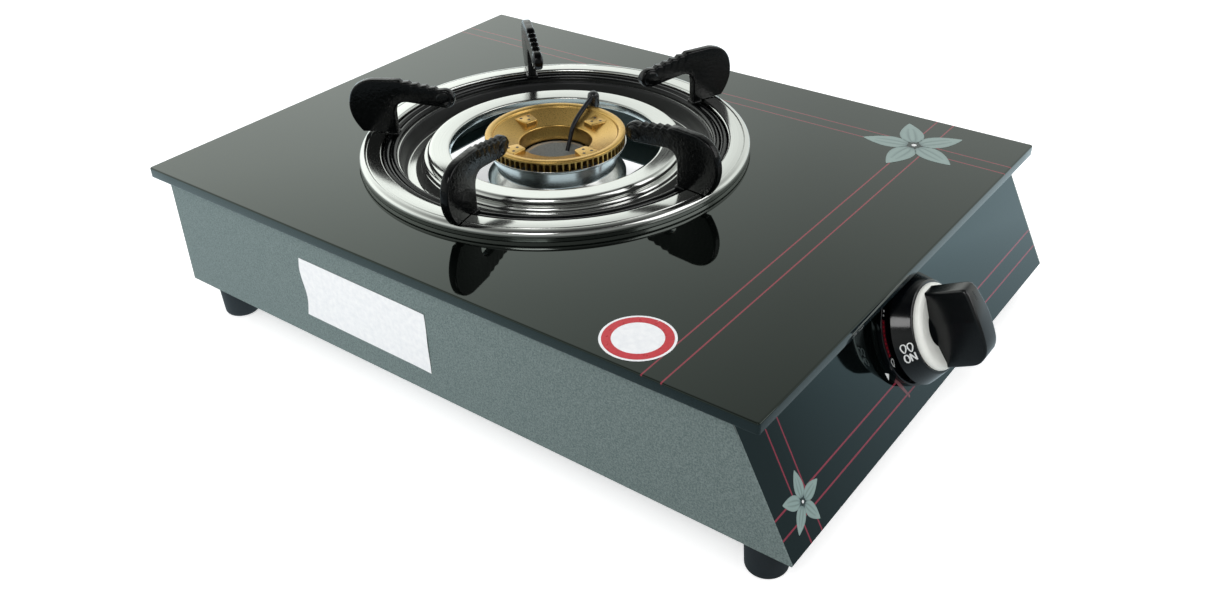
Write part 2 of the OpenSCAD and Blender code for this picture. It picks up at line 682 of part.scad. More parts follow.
// Gas valve behind the front panel
panel_hole_r = stem_r + 2.5;
valve_screw_at = barrel_r + valve_screw_r + 1.6;
valve_flange_t = 3;
module valve_body() {
    tail = push_travel + 3;
    color(c_zinc) difference() {
        union() {
            panel_frame() translate([0, 0, -barrel_l]) cylinder(h = barrel_l - sheet_t, r = barrel_r);
            panel_frame() translate([-valve_screw_at - 2.6 * valve_screw_r, -barrel_r, -sheet_t - valve_flange_t])
                cube([2 * valve_screw_at + 5.2 * valve_screw_r, 2 * barrel_r, valve_flange_t]);
            translate([knob_x - block_half, block_y0, block_z0])
                cube([2 * block_half, block_y1 - block_y0, block_z1 - block_z0]);
        }
        panel_frame() translate([0, 0, chamber_z0]) cylinder(h = chamber_l + 1, r = chamber_r);
        panel_frame() translate([0, 0, stem_z0 - tail]) cylinder(h = barrel_l, r = stem_r + stem_clear);
        panel_frame() for (s = [-1, 1]) translate([s * valve_screw_at, 0, -sheet_t - valve_flange_t - 1])
            cylinder(h = valve_flange_t + 2, r = valve_screw_r + screw_clear);
    }
}
module valve_screws() {
    color(c_zinc) panel_frame() for (s = [-1, 1]) translate([s * valve_screw_at, 0, -sheet_t - valve_flange_t]) {
        translate([0, 0, -2]) cylinder(h = 2, r = 1.7 * valve_screw_r);
        translate([0, 0, -2]) cylinder(h = 2 + valve_flange_t + sheet_t + 0.7, r = valve_screw_r);
    }
}
stem_z0 = chamber_z0 - 6;
stem_z1 = skirt_z1 - skirt_wall - 1;
module valve_stem() {
    color(c_brass) panel_frame() {
        translate([0, 0, stem_z0]) cylinder(h = stem_z1 - stem_z0, r = stem_r);
        translate([0, 0, washer_z1]) cylinder(h = collar_t, r = stem_r + 1.8);
    }
}
module thrust_washer() {
    color(c_zinc) panel_frame() translate([0, 0, washer_z1 - washer_t]) difference() {
        cylinder(h = washer_t, r = chamber_r - 0.3);
        translate([0, 0, -1]) cylinder(h = washer_t + 2, r = stem_r + stem_clear);
    }
}
// Return spring: one unbroken helix between the chamber's floor and the washer
spring_r = (chamber_r + stem_r) / 2;
spring_z0 = chamber_z0 + spring_wire_r;
spring_z1 = washer_z1 - washer_t - spring_wire_r;
spring_rings = 10;
spring_sides = 6;
function spring_at(i) = let (t = i / (spring_turns * spring_rings), a = 360 * spring_turns * t)
    [spring_r * cos(a), spring_r * sin(a), spring_z0 + (spring_z1 - spring_z0) * t];
echo(least_spring_gap = (spring_z1 - spring_z0) / spring_turns - 2 * spring_wire_r);
// One closed tube of radius r along a list of points
module tube_along(p, r, sides) {
    n = len(p);
    dirs = [for (i = [0 : n - 1]) let (d = p[min(i + 1, n - 1)] - p[max(i - 1, 0)]) d / norm(d)];
    rings = [for (i = [0 : n - 1]) let (d = dirs[i], u0 = cross(d, [0.2, -0.4, 1]), u = u0 / norm(u0), v = cross(d, u))
        for (k = [0 : sides - 1]) p[i] + r * (cos(360 * k / sides) * u + sin(360 * k / sides) * v)];
    walls = [for (i = [0 : n - 2], k = [0 : sides - 1]) let (a = i * sides + k, b = i * sides + (k + 1) % sides)
        each [[a, a + sides, b], [b, a + sides, b + sides]]];
    ends = [for (k = [1 : sides - 2]) each [[0, k, k + 1], [(n - 1) * sides, (n - 1) * sides + k + 1,
        (n - 1) * sides + k]]];
    polyhedron(points = rings, faces = concat(walls, ends));
}
module return_spring() {
    color(c_steel) panel_frame()
        tube_along([for (i = [0 : spring_turns * spring_rings]) spring_at(i)], spring_wire_r, spring_sides);
}

// Gas pipe from the valve to the rear, with the hose nipple
pipe_x = -pipe_left;
pipe_y0 = (block_y0 + block_y1) / 2;
nipple_shank_r = pipe_r + 2;
nut_back = 6;
nipple_in = nut_back + 6;
module pipe_run(r, past) {
    x0 = knob_x - block_half + past;
    translate([x0, pipe_y0, pipe_z]) rotate([0, -90, 0]) cylinder(h = x0 - pipe_x - pipe_bend_r, r = r);
    translate([pipe_x + pipe_bend_r, pipe_y0 + pipe_bend_r, pipe_z]) rotate([0, 0, 180])
        rotate_extrude(angle = 90) translate([pipe_bend_r, 0]) circle(r, $fn = 48);
    rod_y(pipe_x, pipe_y0 + pipe_bend_r, pipe_z, r, rear_y - sheet_t - nipple_in - pipe_y0 - pipe_bend_r + past);
}
module gas_pipe() {
    color(c_zinc) difference() {
        pipe_run(pipe_r, 0);
        pipe_run(pipe_bore_r, 1);
    }
}
module hose_nipple() {
    y0 = rear_y - sheet_t - nipple_in;
    flange_l = 5;
    barb_y0 = rear_y + flange_l;
    tip_l = 8;
    barb_l = (nipple_out - flange_l - tip_l) / 2;
    color(c_brass) difference() {
        union() {
            rod_y(pipe_x, y0, pipe_z, nipple_shank_r, nipple_in + sheet_t + 1);
            translate([pipe_x, rear_y, pipe_z]) rotate([-90, 0, 0])
                cylinder(h = flange_l, r = nipple_shank_r + 3.5, $fn = 6);
            rod_y(pipe_x, rear_y + 1, pipe_z, nipple_r, nipple_out - 1);
            for (i = [0, 1]) translate([pipe_x, barb_y0 + i * barb_l, pipe_z]) rotate([-90, 0, 0])
                cylinder(h = barb_l, r1 = barb_r, r2 = nipple_r);
        }
        rod_y(pipe_x, y0 - 1, pipe_z, pipe_bore_r, nipple_out + nipple_in + 8);
    }
}
module nipple_nut() {
    color(c_brass) difference() {
        translate([pipe_x, rear_y - sheet_t - nut_back, pipe_z]) rotate([-90, 0, 0])
            cylinder(h = nut_back, r = nipple_shank_r + 3.5, $fn = 6);
        rod_y(pipe_x, rear_y - sheet_t - nut_back - 1, pipe_z, nipple_shank_r + screw_clear, nut_back + 2);
    }
}

// Ignition
piezo_w = 16;
piezo_h = 18;
lead_x = knob_x + block_half + piezo_w / 2;
lead_z = tube_z - 4;
module piezo_igniter() {
    x0 = knob_x + block_half;
    color(c_black) {
        translate([x0, block_y0, lead_z - piezo_h / 2]) cube([piezo_w, block_y1 - block_y0, piezo_h]);
        rod_y(lead_x, block_y1, lead_z, lead_r + 1.5, 5);
    }
}
// Route of the lead: from the igniter, along the mixing tube, round the bowl and up to the insulator
lead_start = [lead_x, block_y1 + 5, lead_z];
lead_end = [electrode_x, electrode_y, insulator_low_z];
clip_y = (mouth_y0 + mouth_l + tube_y1) / 2;
// Where the lead leaves the tube, how far it swings past the bowl and how far it droops
lead_past = 28;
lead_leave = bowl_r + lead_past;
lead_ease = 40;
lead_swing = 16;
lead_droop = 8;
lead_turn = [lead_x + 1, tray_y - lead_leave, lead_z];
lead_points = concat(
    [for (i = [0 : 8]) lead_start + (lead_turn - lead_start) * i / 8],
    [for (i = [1 : 8]) let (t = i / 8) pow(1 - t, 3) * lead_turn
        + 3 * t * pow(1 - t, 2) * [lead_x + 2, tray_y - lead_leave + lead_ease, lead_z]
        + 3 * t * t * (1 - t) * [bowl_r + lead_swing + 2, tray_y - bowl_r + 4, lead_z - lead_droop]
        + pow(t, 3) * [bowl_r + lead_swing, electrode_y - 6, lead_end[2] - lead_droop - 2]],
    [for (i = [1 : 6]) let (t = i / 6)
        pow(1 - t, 2) * [bowl_r + lead_swing, electrode_y - 6, lead_end[2] - lead_droop - 2]
        + 2 * t * (1 - t) * [electrode_x + 2, electrode_y, lead_end[2] - lead_droop] + t * t * lead_end]);
module ignition_lead() {
    color(c_ceramic) tube_along(lead_points, lead_r, 8);
}
module lead_clip() {
    x1 = lead_x + 0.5 + lead_r + 2;
    color(c_zinc) difference() {
        translate([knob_x + tube_r - 2, clip_y - 3, lead_z - lead_r - 2])
            cube([x1 - knob_x - tube_r + 2, 6, 2 * lead_r + 4]);
        rod_y(knob_x, clip_y - 4, tube_z, tube_r + screw_clear, 8);
        translate([lead_x + 0.6, clip_y - 4, lead_z]) rotate([-90, 0, 0]) cylinder(h = 8, r = lead_r + 0.6);
    }
}
module electrode_bracket() {
    r0 = bowl_r + 0.5;
    r1 = electrode_at + insulator_r + 2.5;
    color(c_zinc) translate([0, tray_y, bracket_z1 - bracket_t]) rotate([0, 0, electrode_turn]) difference() {
        translate([r0, -6, 0]) cube([r1 - r0, 12, bracket_t]);
        translate([electrode_at, 0, -1]) cylinder(h = bracket_t + 2, r = insulator_r + 0.2);
    }
}
module electrode_insulator() {
    low = insulator_low_z - top_z;
    seat = bracket_z1 - top_z;
    r = insulator_r;
    head = insulator_head_r;
    head_z = insulator_top_h - head;
    color(c_ceramic) translate([electrode_x, electrode_y, top_z]) rotate_extrude() polygon(concat(
        [[0, low], [r, low], [r, seat], [r + 0.9, seat], [r + 0.9, seat + 1.2], [r, seat + 2.1], [r, head_z - 5],
         [head, head_z - 4]], arc([0, head_z], head, 0, 90, 8)));
}
// Spark wire: out of the insulator's head, over the rim, then down into the cap's hole
wire_out = [electrode_at - 1, insulator_top_h - insulator_head_r + 0.5];
wire_knee = [cap_hole_r - 1, hole_h + 2.6];
wire_tip = [cap_hole_r - 8.5, hole_h - 12];
module electrode_wire() {
    color(c_steel) translate([0, tray_y, top_z]) rotate([0, 0, electrode_turn]) {
        rod([wire_out[0], 0, wire_out[1]], [wire_knee[0], 0, wire_knee[1]], spark_wire_r);
        translate([wire_knee[0], 0, wire_knee[1]]) sphere(spark_wire_r + 0.03);
        rod([wire_knee[0], 0, wire_knee[1]], [wire_tip[0], 0, wire_tip[1]], spark_wire_r);
    }
}

// Knob
module knob_bezel() {
    color(c_black) panel_frame() difference() {
        cylinder(h = bezel_t, r = bezel_r);
        translate([0, 0, -1]) cylinder(h = bezel_t + 2, r = panel_hole_r);
        for (s = [-1, 1]) translate([s * valve_screw_at, 0, -1]) cylinder(h = 1.9, r = valve_screw_r + screw_clear);
    }
}
module knob_skirt() {
    hub_r = stem_r + 2.2;
    color(c_black) panel_frame() difference() {
        union() {
            rotate_extrude() polygon([[hub_r - 1, skirt_z1 - skirt_wall], [skirt_r - skirt_wall, skirt_z1 - skirt_wall],
                [skirt_base_r - skirt_wall, skirt_z0], [skirt_base_r, skirt_z0], [skirt_r, skirt_z1 - 0.5],
                [skirt_r - 0.5, skirt_z1], [hub_r - 1, skirt_z1]]);
            cylinder_from(skirt_z1 - skirt_wall, skirt_z1, hub_r);
            cylinder_from(skirt_z0, skirt_z1 - skirt_wall / 2, hub_r);
        }
        cylinder_from(skirt_z0 - 1, stem_z1, stem_r + stem_clear);
    }
}
module cylinder_from(z0, z1, r) {
    translate([0, 0, z0]) cylinder(h = z1 - z0, r = r);
}
// Pale ring: a rounded edge up to its crest, then a shallow dish down to its hole
ring_edge_h = 0.8;
ring_crest_r = ring_r - 3.7;
module ring_form() {
    rotate_extrude() polygon(concat([[ring_in_r, skirt_z1], [ring_r, skirt_z1], [ring_r, skirt_z1 + ring_edge_h]],
        bend([ring_r, skirt_z1 + ring_edge_h], [ring_r - 0.3, ring_z1], [ring_crest_r, ring_z1], 6),
        [[ring_in_r, ring_z1 - ring_dish]]));
}
module knob_ring() {
    color(c_cream) panel_frame() ring_form();
}
// Bar grip on a round hub, seated on the pale ring and narrower at its upper end
module knob_grip() {
    color(c_black) panel_frame() {
        cylinder_from(skirt_z1, ring_z1 - ring_dish, ring_in_r - 0.1);
        difference() {
            intersection() {
                drawn_x(-grip_w / 2, grip_w, grip_line);
                translate([0, 0, skirt_z1]) linear_extrude(grip_h + ring_h + 1) polygon([[-grip_w / 2, -grip_half - 1],
                    [grip_w / 2, -grip_half - 1], [grip_w / 2, grip_half / 5], [grip_tip_w / 2, grip_half],
                    [-grip_tip_w / 2, grip_half], [-grip_w / 2, grip_half / 5]]);
            }
            ring_form();
        }
    }
}

// Drip tray, trim ring and pan support
module drip_tray() {
    bead = [tray_r - tray_bead_r, tray_h - tray_bead_r];
    path = concat([[tray_r, 0], [tray_r, bead[1] - groove_d]], arc(bead, tray_bead_r, 20, 90, 5),
        [[bead[0] - groove_half, tray_h - groove_d], [bead[0] - 2 * groove_half, tray_h],
         [seat_r + fold_r, tray_h], [seat_r, tray_h - fold_r], [seat_r, seat_h], [trough_r + fold_r, seat_h],
         [trough_r - 0.2, seat_h - fold_r - 0.2], [trough_r - trough_fold, -trough_depth + trough_fold],
         [trough_r - 2 * trough_fold, -trough_depth],
         [trough_in_r + 1.4, -trough_depth], [trough_in_r - 0.4, -trough_depth + trough_fold],
         [shelf_r + fold_r + 0.2, -fold_r], [shelf_r, 0], [tray_hole_r, 0]]);
    color(c_steel) burner_turned(sheet(path, tray_t));
}
tray_r = seat_r + tray_band_w;
// Groove behind the bead, the folds of the sheet and of the trough's corners, and the slope up to the shelf
groove_half = 0.5;
groove_d = 0.4;
fold_r = 0.8;
trough_fold = 1.6;
shelf_slope = 4;
shelf_r = trough_in_r - shelf_slope;
module trim_ring() {
    path = [[trim_r, 0], [trim_r, 0.8], [trim_r - 0.4, trim_h - 1.4], [trim_r - 1.3, trim_h - 0.3], [trim_r - 2.4, trim_h],
        [trim_hole_r + 1.2, trim_h - 0.5], [trim_hole_r + 0.3, trim_h - 0.9], [trim_hole_r, trim_h - trim_lip]];
    color(c_steel) burner_turned(sheet(path, trim_t));
}
support_out_r = seat_r - support_gap;
support_top = seat_h + support_t;
module support_ring() {
    color(c_black) burner_turned([[support_in_r, seat_h], [support_out_r, seat_h], [support_out_r, support_top - 0.5],
        [support_out_r - 0.5, support_top], [support_in_r + 1.5, support_top], [support_in_r, support_top - 1.2]]);
}
// A prong's outline in radius and height: foot, back, pan edge, teeth, tip and arch
foot_in = support_in_r + 1.8;
foot_out = support_out_r - 0.6;
band_z = tray_h + prong_gap;
// Length of the level pan edge outside the teeth, and of the nose inside them
pan_edge_l = 31;
nose_l = 6;
// Half the height of the arm at its tip, the rounding of the back's upper corner and the run of the arch's corner
tip_half = 3.5;
back_round = 14.5;
arch_round = 12;
teeth_r1 = prong_out_r - pan_edge_l;
teeth_r0 = prong_tip_r + nose_l;
tooth_l = (teeth_r1 - teeth_r0) / tooth_count;
tip_z = pan_h - prong_drop - tip_half;
drop_step = prong_drop / tooth_count;
prong_outline = concat(
    [[foot_in, support_top], [foot_out, support_top], [foot_out, band_z], [prong_out_r - 6, band_z]],
    bend([prong_out_r - 6, band_z], [prong_out_r + 1.3, pan_h * 0.4], [prong_out_r - 0.2, pan_h * 0.645], 7),
    bend([prong_out_r - 0.2, pan_h * 0.645], [prong_out_r - 1.8, pan_h - 1.5], [prong_out_r - back_round, pan_h], 6),
    [[teeth_r1, pan_h]],
    [for (i = [0 : tooth_count - 1]) let (r = teeth_r1 - i * tooth_l, z = pan_h - drop_step * i)
        each [[r - tooth_l * 0.3, z - 0.3 * drop_step - tooth_depth], [r - tooth_l, z - drop_step]]],
    bend([teeth_r0, pan_h - prong_drop], [prong_tip_r + 0.2, tip_z + tip_half - 0.4], [prong_tip_r, tip_z], 5),
    bend([prong_tip_r, tip_z], [prong_tip_r + 0.2, tip_z - tip_half], [prong_tip_r + nose_l, tip_z - tip_half], 5),
    [[foot_in - arch_round, tip_z - tip_half]],
    bend([foot_in - arch_round, tip_z - tip_half], [foot_in - 0.7, tip_z - tip_half], [foot_in, pan_h * 0.4], 8));
module prong(i) {
    translate([0, tray_y, top_z]) rotate([0, 0, prong_turn - 360 * i / prong_count]) rotate([90, 0, 0]) {
        translate([0, 0, -prong_t / 2]) linear_extrude(prong_t) polygon(prong_outline);
        translate([prong_tip_r + tip_boss_r + 1.6, tip_z, -prong_t / 2 - tip_boss_h])
            cylinder(h = prong_t + 2 * tip_boss_h, r = tip_boss_r);
    }
}
module prong_1() { color(c_black) prong(0); }
module prong_2() { color(c_black) prong(1); }
module prong_3() { color(c_black) prong(2); }
module prong_4() { color(c_black) prong(3); }
module prong_5() { color(c_black) prong(4); }

glass_top();
glass_gasket();
left_side_panel();
right_side_panel();
rear_panel();
front_panel();
foot_front_left();
foot_front_right();
foot_rear_left();
foot_rear_right();
foot_screws();
foot_nuts();
burner_bridge();
bridge_screws();
burner_base();
burner_screws();
burner_cup();
burner_cap();
mixing_tube();
air_shutter();
gas_injector();
valve_body();
valve_screws();
valve_stem();
thrust_washer();
return_spring();
gas_pipe();
hose_nipple();
nipple_nut();
piezo_igniter();
ignition_lead();
lead_clip();
electrode_bracket();
electrode_insulator();
electrode_wire();
knob_bezel();
knob_skirt();
knob_ring();
knob_grip();
drip_tray();
trim_ring();
support_ring();
prong_1();
prong_2();
prong_3();
prong_4();
prong_5();
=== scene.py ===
"""Looks of a table-top gas stove with one burner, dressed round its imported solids.

Lengths are millimetres until a piece is made. Heights at the burner are above the glass surface, and those on
the knob are out of the panel.
"""
import json
import math

import bmesh
import bpy
import numpy as np
from mathutils import Matrix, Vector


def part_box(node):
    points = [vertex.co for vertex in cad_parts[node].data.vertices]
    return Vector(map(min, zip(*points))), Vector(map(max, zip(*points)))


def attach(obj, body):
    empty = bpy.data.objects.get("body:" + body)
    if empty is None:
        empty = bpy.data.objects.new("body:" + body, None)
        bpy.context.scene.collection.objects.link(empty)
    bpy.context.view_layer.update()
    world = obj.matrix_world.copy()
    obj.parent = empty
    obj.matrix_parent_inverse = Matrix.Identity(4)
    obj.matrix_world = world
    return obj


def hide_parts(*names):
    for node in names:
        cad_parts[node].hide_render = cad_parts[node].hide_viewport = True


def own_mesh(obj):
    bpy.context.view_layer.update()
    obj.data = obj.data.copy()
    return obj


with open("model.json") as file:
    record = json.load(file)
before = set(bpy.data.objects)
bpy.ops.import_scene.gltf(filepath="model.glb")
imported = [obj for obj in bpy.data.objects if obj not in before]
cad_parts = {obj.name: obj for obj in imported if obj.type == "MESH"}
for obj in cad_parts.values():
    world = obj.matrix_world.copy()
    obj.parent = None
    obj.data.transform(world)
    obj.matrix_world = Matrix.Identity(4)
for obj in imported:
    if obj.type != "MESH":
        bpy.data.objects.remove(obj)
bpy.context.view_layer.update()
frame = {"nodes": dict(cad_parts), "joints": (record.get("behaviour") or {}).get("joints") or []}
nodes = frame["nodes"]
M = 0.001


def box_mm(name):
    """A node's lowest and highest corners in millimetres."""
    low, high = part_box(name)
    return np.array(low) / M, np.array(high) / M


glass_low, glass_high = box_mm("glass_top")
ring_low, ring_high = box_mm("support_ring")
TOP = glass_high[2]
GLASS_Y = (glass_low[1] + glass_high[1]) / 2
BURNER = np.array([(ring_low[0] + ring_high[0]) / 2, (ring_low[1] + ring_high[1]) / 2, TOP])
turn = [j for j in frame["joints"] if j["name"] == "knob_turn"][0]
KNOB = np.array(turn["pos_m"]) / M
OUT = np.array(turn["axis"])
RIGHT = np.array([1.0, 0.0, 0.0])
UP_SLOPE = np.cross(OUT, RIGHT)
KNOB_AXES = np.stack([RIGHT, UP_SLOPE, OUT])

# Camera, from the perspective of the glass, panel, tray and feet in the picture
CAM_AZIMUTH, CAM_ELEVATION, CAM_ROLL = -52.59, 33.18, -1.54
CAM_DISTANCE = 527.08
CAM_TARGET = np.array([-111.46, GLASS_Y - 97.59, TOP])
FOCAL_PX, FRAME_PX, SENSOR_MM = 1161.12, 1224, 36
a, e, r = np.radians([CAM_AZIMUTH, CAM_ELEVATION, CAM_ROLL])
back = np.array([math.sin(a) * math.cos(e), -math.cos(a) * math.cos(e), math.sin(e)])
right = np.array([math.cos(a), math.sin(a), 0])
up = np.cross(back, right)
right, up = math.cos(r) * right + math.sin(r) * up, math.cos(r) * up - math.sin(r) * right
camera_place = (CAM_TARGET + CAM_DISTANCE * back) * M
camera_data = bpy.data.cameras.new("camera")
camera = bpy.data.objects.new("camera", camera_data)
bpy.context.scene.collection.objects.link(camera)
camera_data.sensor_fit = "HORIZONTAL"
camera_data.sensor_width = SENSOR_MM
camera_data.lens = SENSOR_MM * FOCAL_PX / FRAME_PX
camera_data.clip_start, camera_data.clip_end = 0.01, 50
camera_axes = np.stack([right, up, back], 1).tolist()
camera.matrix_world = Matrix([[*row, p] for row, p in zip(camera_axes, camera_place)] + [[0, 0, 0, 1]])
bpy.context.scene.camera = camera


# Materials

def tint(code):
    """Linear colour of an sRGB hex value."""
    c = np.array([int(code[i:i + 2], 16) / 255 for i in (1, 3, 5)])
    c = np.where(c <= 0.04045, c / 12.92, ((c + 0.055) / 1.055) ** 2.4)
    return (*c.tolist(), 1.0)


def add(tree, kind, sockets=None, links=None, **settings):
    """Adds a node, gives it settings and socket values, and links outputs into its sockets."""
    made = tree.nodes.new(kind)
    for name, value in settings.items():
        setattr(made, name, value)
    for name, value in (sockets or {}).items():
        made.inputs[name].default_value = value
    for name, output in (links or {}).items():
        tree.links.new(output, made.inputs[name])
    return made


def surface(name, **sockets):
    """A new material with its shader's sockets set; gives material, tree, shader and object coordinates."""
    made = bpy.data.materials.new(name)
    made.use_nodes = True
    tree = made.node_tree
    shader = tree.nodes["Principled BSDF"]
    for key, value in sockets.items():
        shader.inputs[key.replace("_", " ")].default_value = value
    place = add(tree, "ShaderNodeTexCoord").outputs["Object"]
    return made, tree, shader, place


def grained(name, dark, light, grain, rough, bump=0.0, stretch=(1, 1, 1), detail=3.0, **sockets):
    """A finish whose colour, roughness and height all follow one noise of the given grain size (mm)."""
    made, tree, shader, place = surface(name, **sockets)
    spread = add(tree, "ShaderNodeMapping", {"Scale": stretch}, {"Vector": place})
    noise = add(tree, "ShaderNodeTexNoise", {"Scale": 1 / (grain * M), "Detail": detail, "Roughness": 0.55},
                {"Vector": spread.outputs[0]})
    tone = add(tree, "ShaderNodeMapRange", {"From Min": 0.3, "From Max": 0.7}, {"Value": noise.outputs[0]})
    mix = add(tree, "ShaderNodeMix", {6: tint(dark), 7: tint(light)}, {0: tone.outputs[0]}, data_type="RGBA")
    gloss = add(tree, "ShaderNodeMapRange",
                {"From Min": 0.25, "From Max": 0.75, "To Min": rough[0], "To Max": rough[1]},
                {"Value": noise.outputs[0]})
    tree.links.new(mix.outputs[2], shader.inputs["Base Color"])
    tree.links.new(gloss.outputs[0], shader.inputs["Roughness"])
    if bump:
        lift = add(tree, "ShaderNodeBump", {"Strength": 1.0, "Distance": bump * M},
                   {"Height": noise.outputs[0]})
        tree.links.new(lift.outputs[0], shader.inputs["Normal"])
    return made


RED_LINE, LINE_W, LINE_SOFT, EDGE_BLEND = "#862a3c", 0.8, 0.12, 0.5


def pair_mask(tree, value, middle, apart, width):
    """1 on two lines at middle +- apart/2 (mm) along a coordinate: ||v - m| - a/2| < w/2, with soft rims."""
    off = add(tree, "ShaderNodeMath", {1: middle * M}, {0: value}, operation="SUBTRACT")
    side = add(tree, "ShaderNodeMath", links={0: off.outputs[0]}, operation="ABSOLUTE")
    near = add(tree, "ShaderNodeMath", {1: apart * M / 2}, {0: side.outputs[0]}, operation="SUBTRACT")
    dist = add(tree, "ShaderNodeMath", links={0: near.outputs[0]}, operation="ABSOLUTE")
    return add(tree, "ShaderNodeMapRange",
               {"From Min": (width / 2 + LINE_SOFT) * M, "From Max": (width / 2 - LINE_SOFT) * M},
               {"Value": dist.outputs[0]}).outputs[0]


def striped(name, ground, edge, edge_below, pairs, **sockets):
    """Gloss black with crossing pairs of red pinstripes; below a height the colour turns to the edge's."""
    made, tree, shader, place = surface(name, **sockets)
    axes = add(tree, "ShaderNodeSeparateXYZ", links={0: place})
    masks = [pair_mask(tree, axes.outputs[axis], middle, apart, LINE_W) for axis, middle, apart in pairs]
    lines = add(tree, "ShaderNodeMath", links={0: masks[0], 1: masks[1]}, operation="MAXIMUM").outputs[0]
    cloud = add(tree, "ShaderNodeTexNoise", {"Scale": 9.0, "Detail": 2.0}, {"Vector": place})
    shade = add(tree, "ShaderNodeMix", {6: tint(ground[0]), 7: tint(ground[1])}, {0: cloud.outputs[0]},
                data_type="RGBA")
    low = add(tree, "ShaderNodeMapRange",
              {"From Min": edge_below * M, "From Max": (edge_below - EDGE_BLEND) * M},
              {"Value": axes.outputs[2]})
    base = add(tree, "ShaderNodeMix", {7: tint(edge)}, {0: low.outputs[0], 6: shade.outputs[2]},
               data_type="RGBA")
    upper = add(tree, "ShaderNodeMath", {0: 1.0}, {1: low.outputs[0]}, operation="SUBTRACT")
    drawn = add(tree, "ShaderNodeMath", links={0: lines, 1: upper.outputs[0]}, operation="MULTIPLY")
    ink = add(tree, "ShaderNodeMix", {7: tint(RED_LINE)}, {0: drawn.outputs[0], 6: base.outputs[2]},
              data_type="RGBA")
    tree.links.new(ink.outputs[2], shader.inputs["Base Color"])
    return made


# Toughened glass with a black screen print under it: a clear gloss, and the cut edge shows blue-grey
glass = striped("toughened_glass_black_print", ("#030504", "#050706"), "#141d21", TOP - 0.4,
                [(1, GLASS_Y - 146, 10), (0, 111.5, 9)], Roughness=0.03, IOR=1.52,
                Specular_Tint=(0.81, 1, 0.88, 1))
# Back-printed gloss lacquer on the front panel: a deep black mirror with a blue-green cast
front_lacquer = striped("gloss_lacquer_black_front", ("#020404", "#040606"), "#020404", 0,
                        [(0, -125.1, 9.4), (2, 34.15, 8.72)], Roughness=0.05, IOR=1.58,
                        Specular_Tint=(0.62, 0.97, 1, 1))
# Hammertone stove paint: fine pale flecks on blue-grey, slightly dimpled
hammertone = grained("hammertone_paint_blue_grey", "#4a5b5a", "#7a8886", 0.8, (0.42, 0.6), 0.05, detail=4.0)
# Polished stainless steel, spun: near mirror with faint turning marks, drawn coarser than real to show
TURNING_MARK, SHADE_BAND_R, SHADE_BAND_HALF, SHADE_BAND_ROUGHER = 0.5, 86.9, 2, 0.3
stainless, tree, shader, place = surface("polished_stainless_spun", Metallic=1.0)
axes = add(tree, "ShaderNodeVectorMath", {1: tuple(BURNER * M)}, {0: place}, operation="SUBTRACT")
flat = add(tree, "ShaderNodeVectorMath", {1: (1, 1, 0)}, {0: axes.outputs[0]}, operation="MULTIPLY")
radius = add(tree, "ShaderNodeVectorMath", links={0: flat.outputs[0]}, operation="LENGTH")
marks = add(tree, "ShaderNodeTexNoise", {"Scale": 1 / (TURNING_MARK * M), "Detail": 3.0},
            {"W": radius.outputs["Value"]}, noise_dimensions="1D")
steel = add(tree, "ShaderNodeMix", {6: tint("#c2c4c1"), 7: tint("#d6d7d4")}, {0: marks.outputs[0]},
            data_type="RGBA")
gloss = add(tree, "ShaderNodeMapRange", {"To Min": 0.1, "To Max": 0.2}, {"Value": marks.outputs[0]})
# Painted shade on the trough's outer wall, round under the support ring: a near-black, non-metallic, rougher
# band where the radius lies within the band's half width of its middle radius, standing in for the shade and
# dark reflection there
painted_shade_band = add(tree, "ShaderNodeMath", {1: SHADE_BAND_R * M, 2: SHADE_BAND_HALF * M}, {0: radius.outputs["Value"]},
            operation="COMPARE")
bare = add(tree, "ShaderNodeMath", {0: 1.0}, {1: painted_shade_band.outputs[0]}, operation="SUBTRACT")
tone = add(tree, "ShaderNodeMix", {7: tint("#0a0b0d")}, {0: painted_shade_band.outputs[0], 6: steel.outputs[2]},
           data_type="RGBA")
rough = add(tree, "ShaderNodeMath", {1: SHADE_BAND_ROUGHER}, {0: painted_shade_band.outputs[0], 2: gloss.outputs[0]},
            operation="MULTIPLY_ADD")
tree.links.new(tone.outputs[2], shader.inputs["Base Color"])
tree.links.new(rough.outputs[0], shader.inputs["Roughness"])
tree.links.new(bare.outputs[0], shader.inputs["Metallic"])
# Black vitreous enamel over rough iron castings: pitted grain with sharp small glints
enamel = grained("black_enamel_on_cast_iron", "#020303", "#060708", 2.0, (0.1, 0.2), 0.22, IOR=1.34)
# The support ring is pressed steel under the same enamel, so it is smoother
enamel_smooth = grained("black_enamel_on_steel", "#020303", "#060708", 1.6, (0.12, 0.22), 0.05, IOR=1.34)
# Brass, sand-blasted to a matte gold with a soft sheen, or turned and left bright
brass = grained("blasted_brass", "#bf9850", "#d6b26a", 0.5, (0.24, 0.36), 0.015, Metallic=0.92)
brass_bright = grained("turned_brass", "#cfa65a", "#e3bf78", 0.4, (0.16, 0.28), 0.01, Metallic=1.0)
# Aluminium, spun to a satin mirror drawn out round the piece, or sand-cast to a pale dull grain
aluminium = grained("spun_aluminium", "#b4b5b3", "#cfd0cd", 1.0, (0.16, 0.26), 0.005, (1, 1, 9), Metallic=1.0)
cast_alloy = grained("sand_cast_aluminium", "#a3a3a0", "#c2c2be", 0.8, (0.4, 0.6), 0.12, Metallic=0.6)
# Steel, zinc-plated in cool soft patches, or drawn to a grey wire with a dull shine
zinc = grained("zinc_plated_steel", "#9a9c9b", "#bcbebc", 2.5, (0.25, 0.42), 0.01, Metallic=1.0)
spring_steel = grained("drawn_steel_wire", "#77797a", "#8f9192", 1.0, (0.25, 0.35), 0.01, Metallic=1.0)
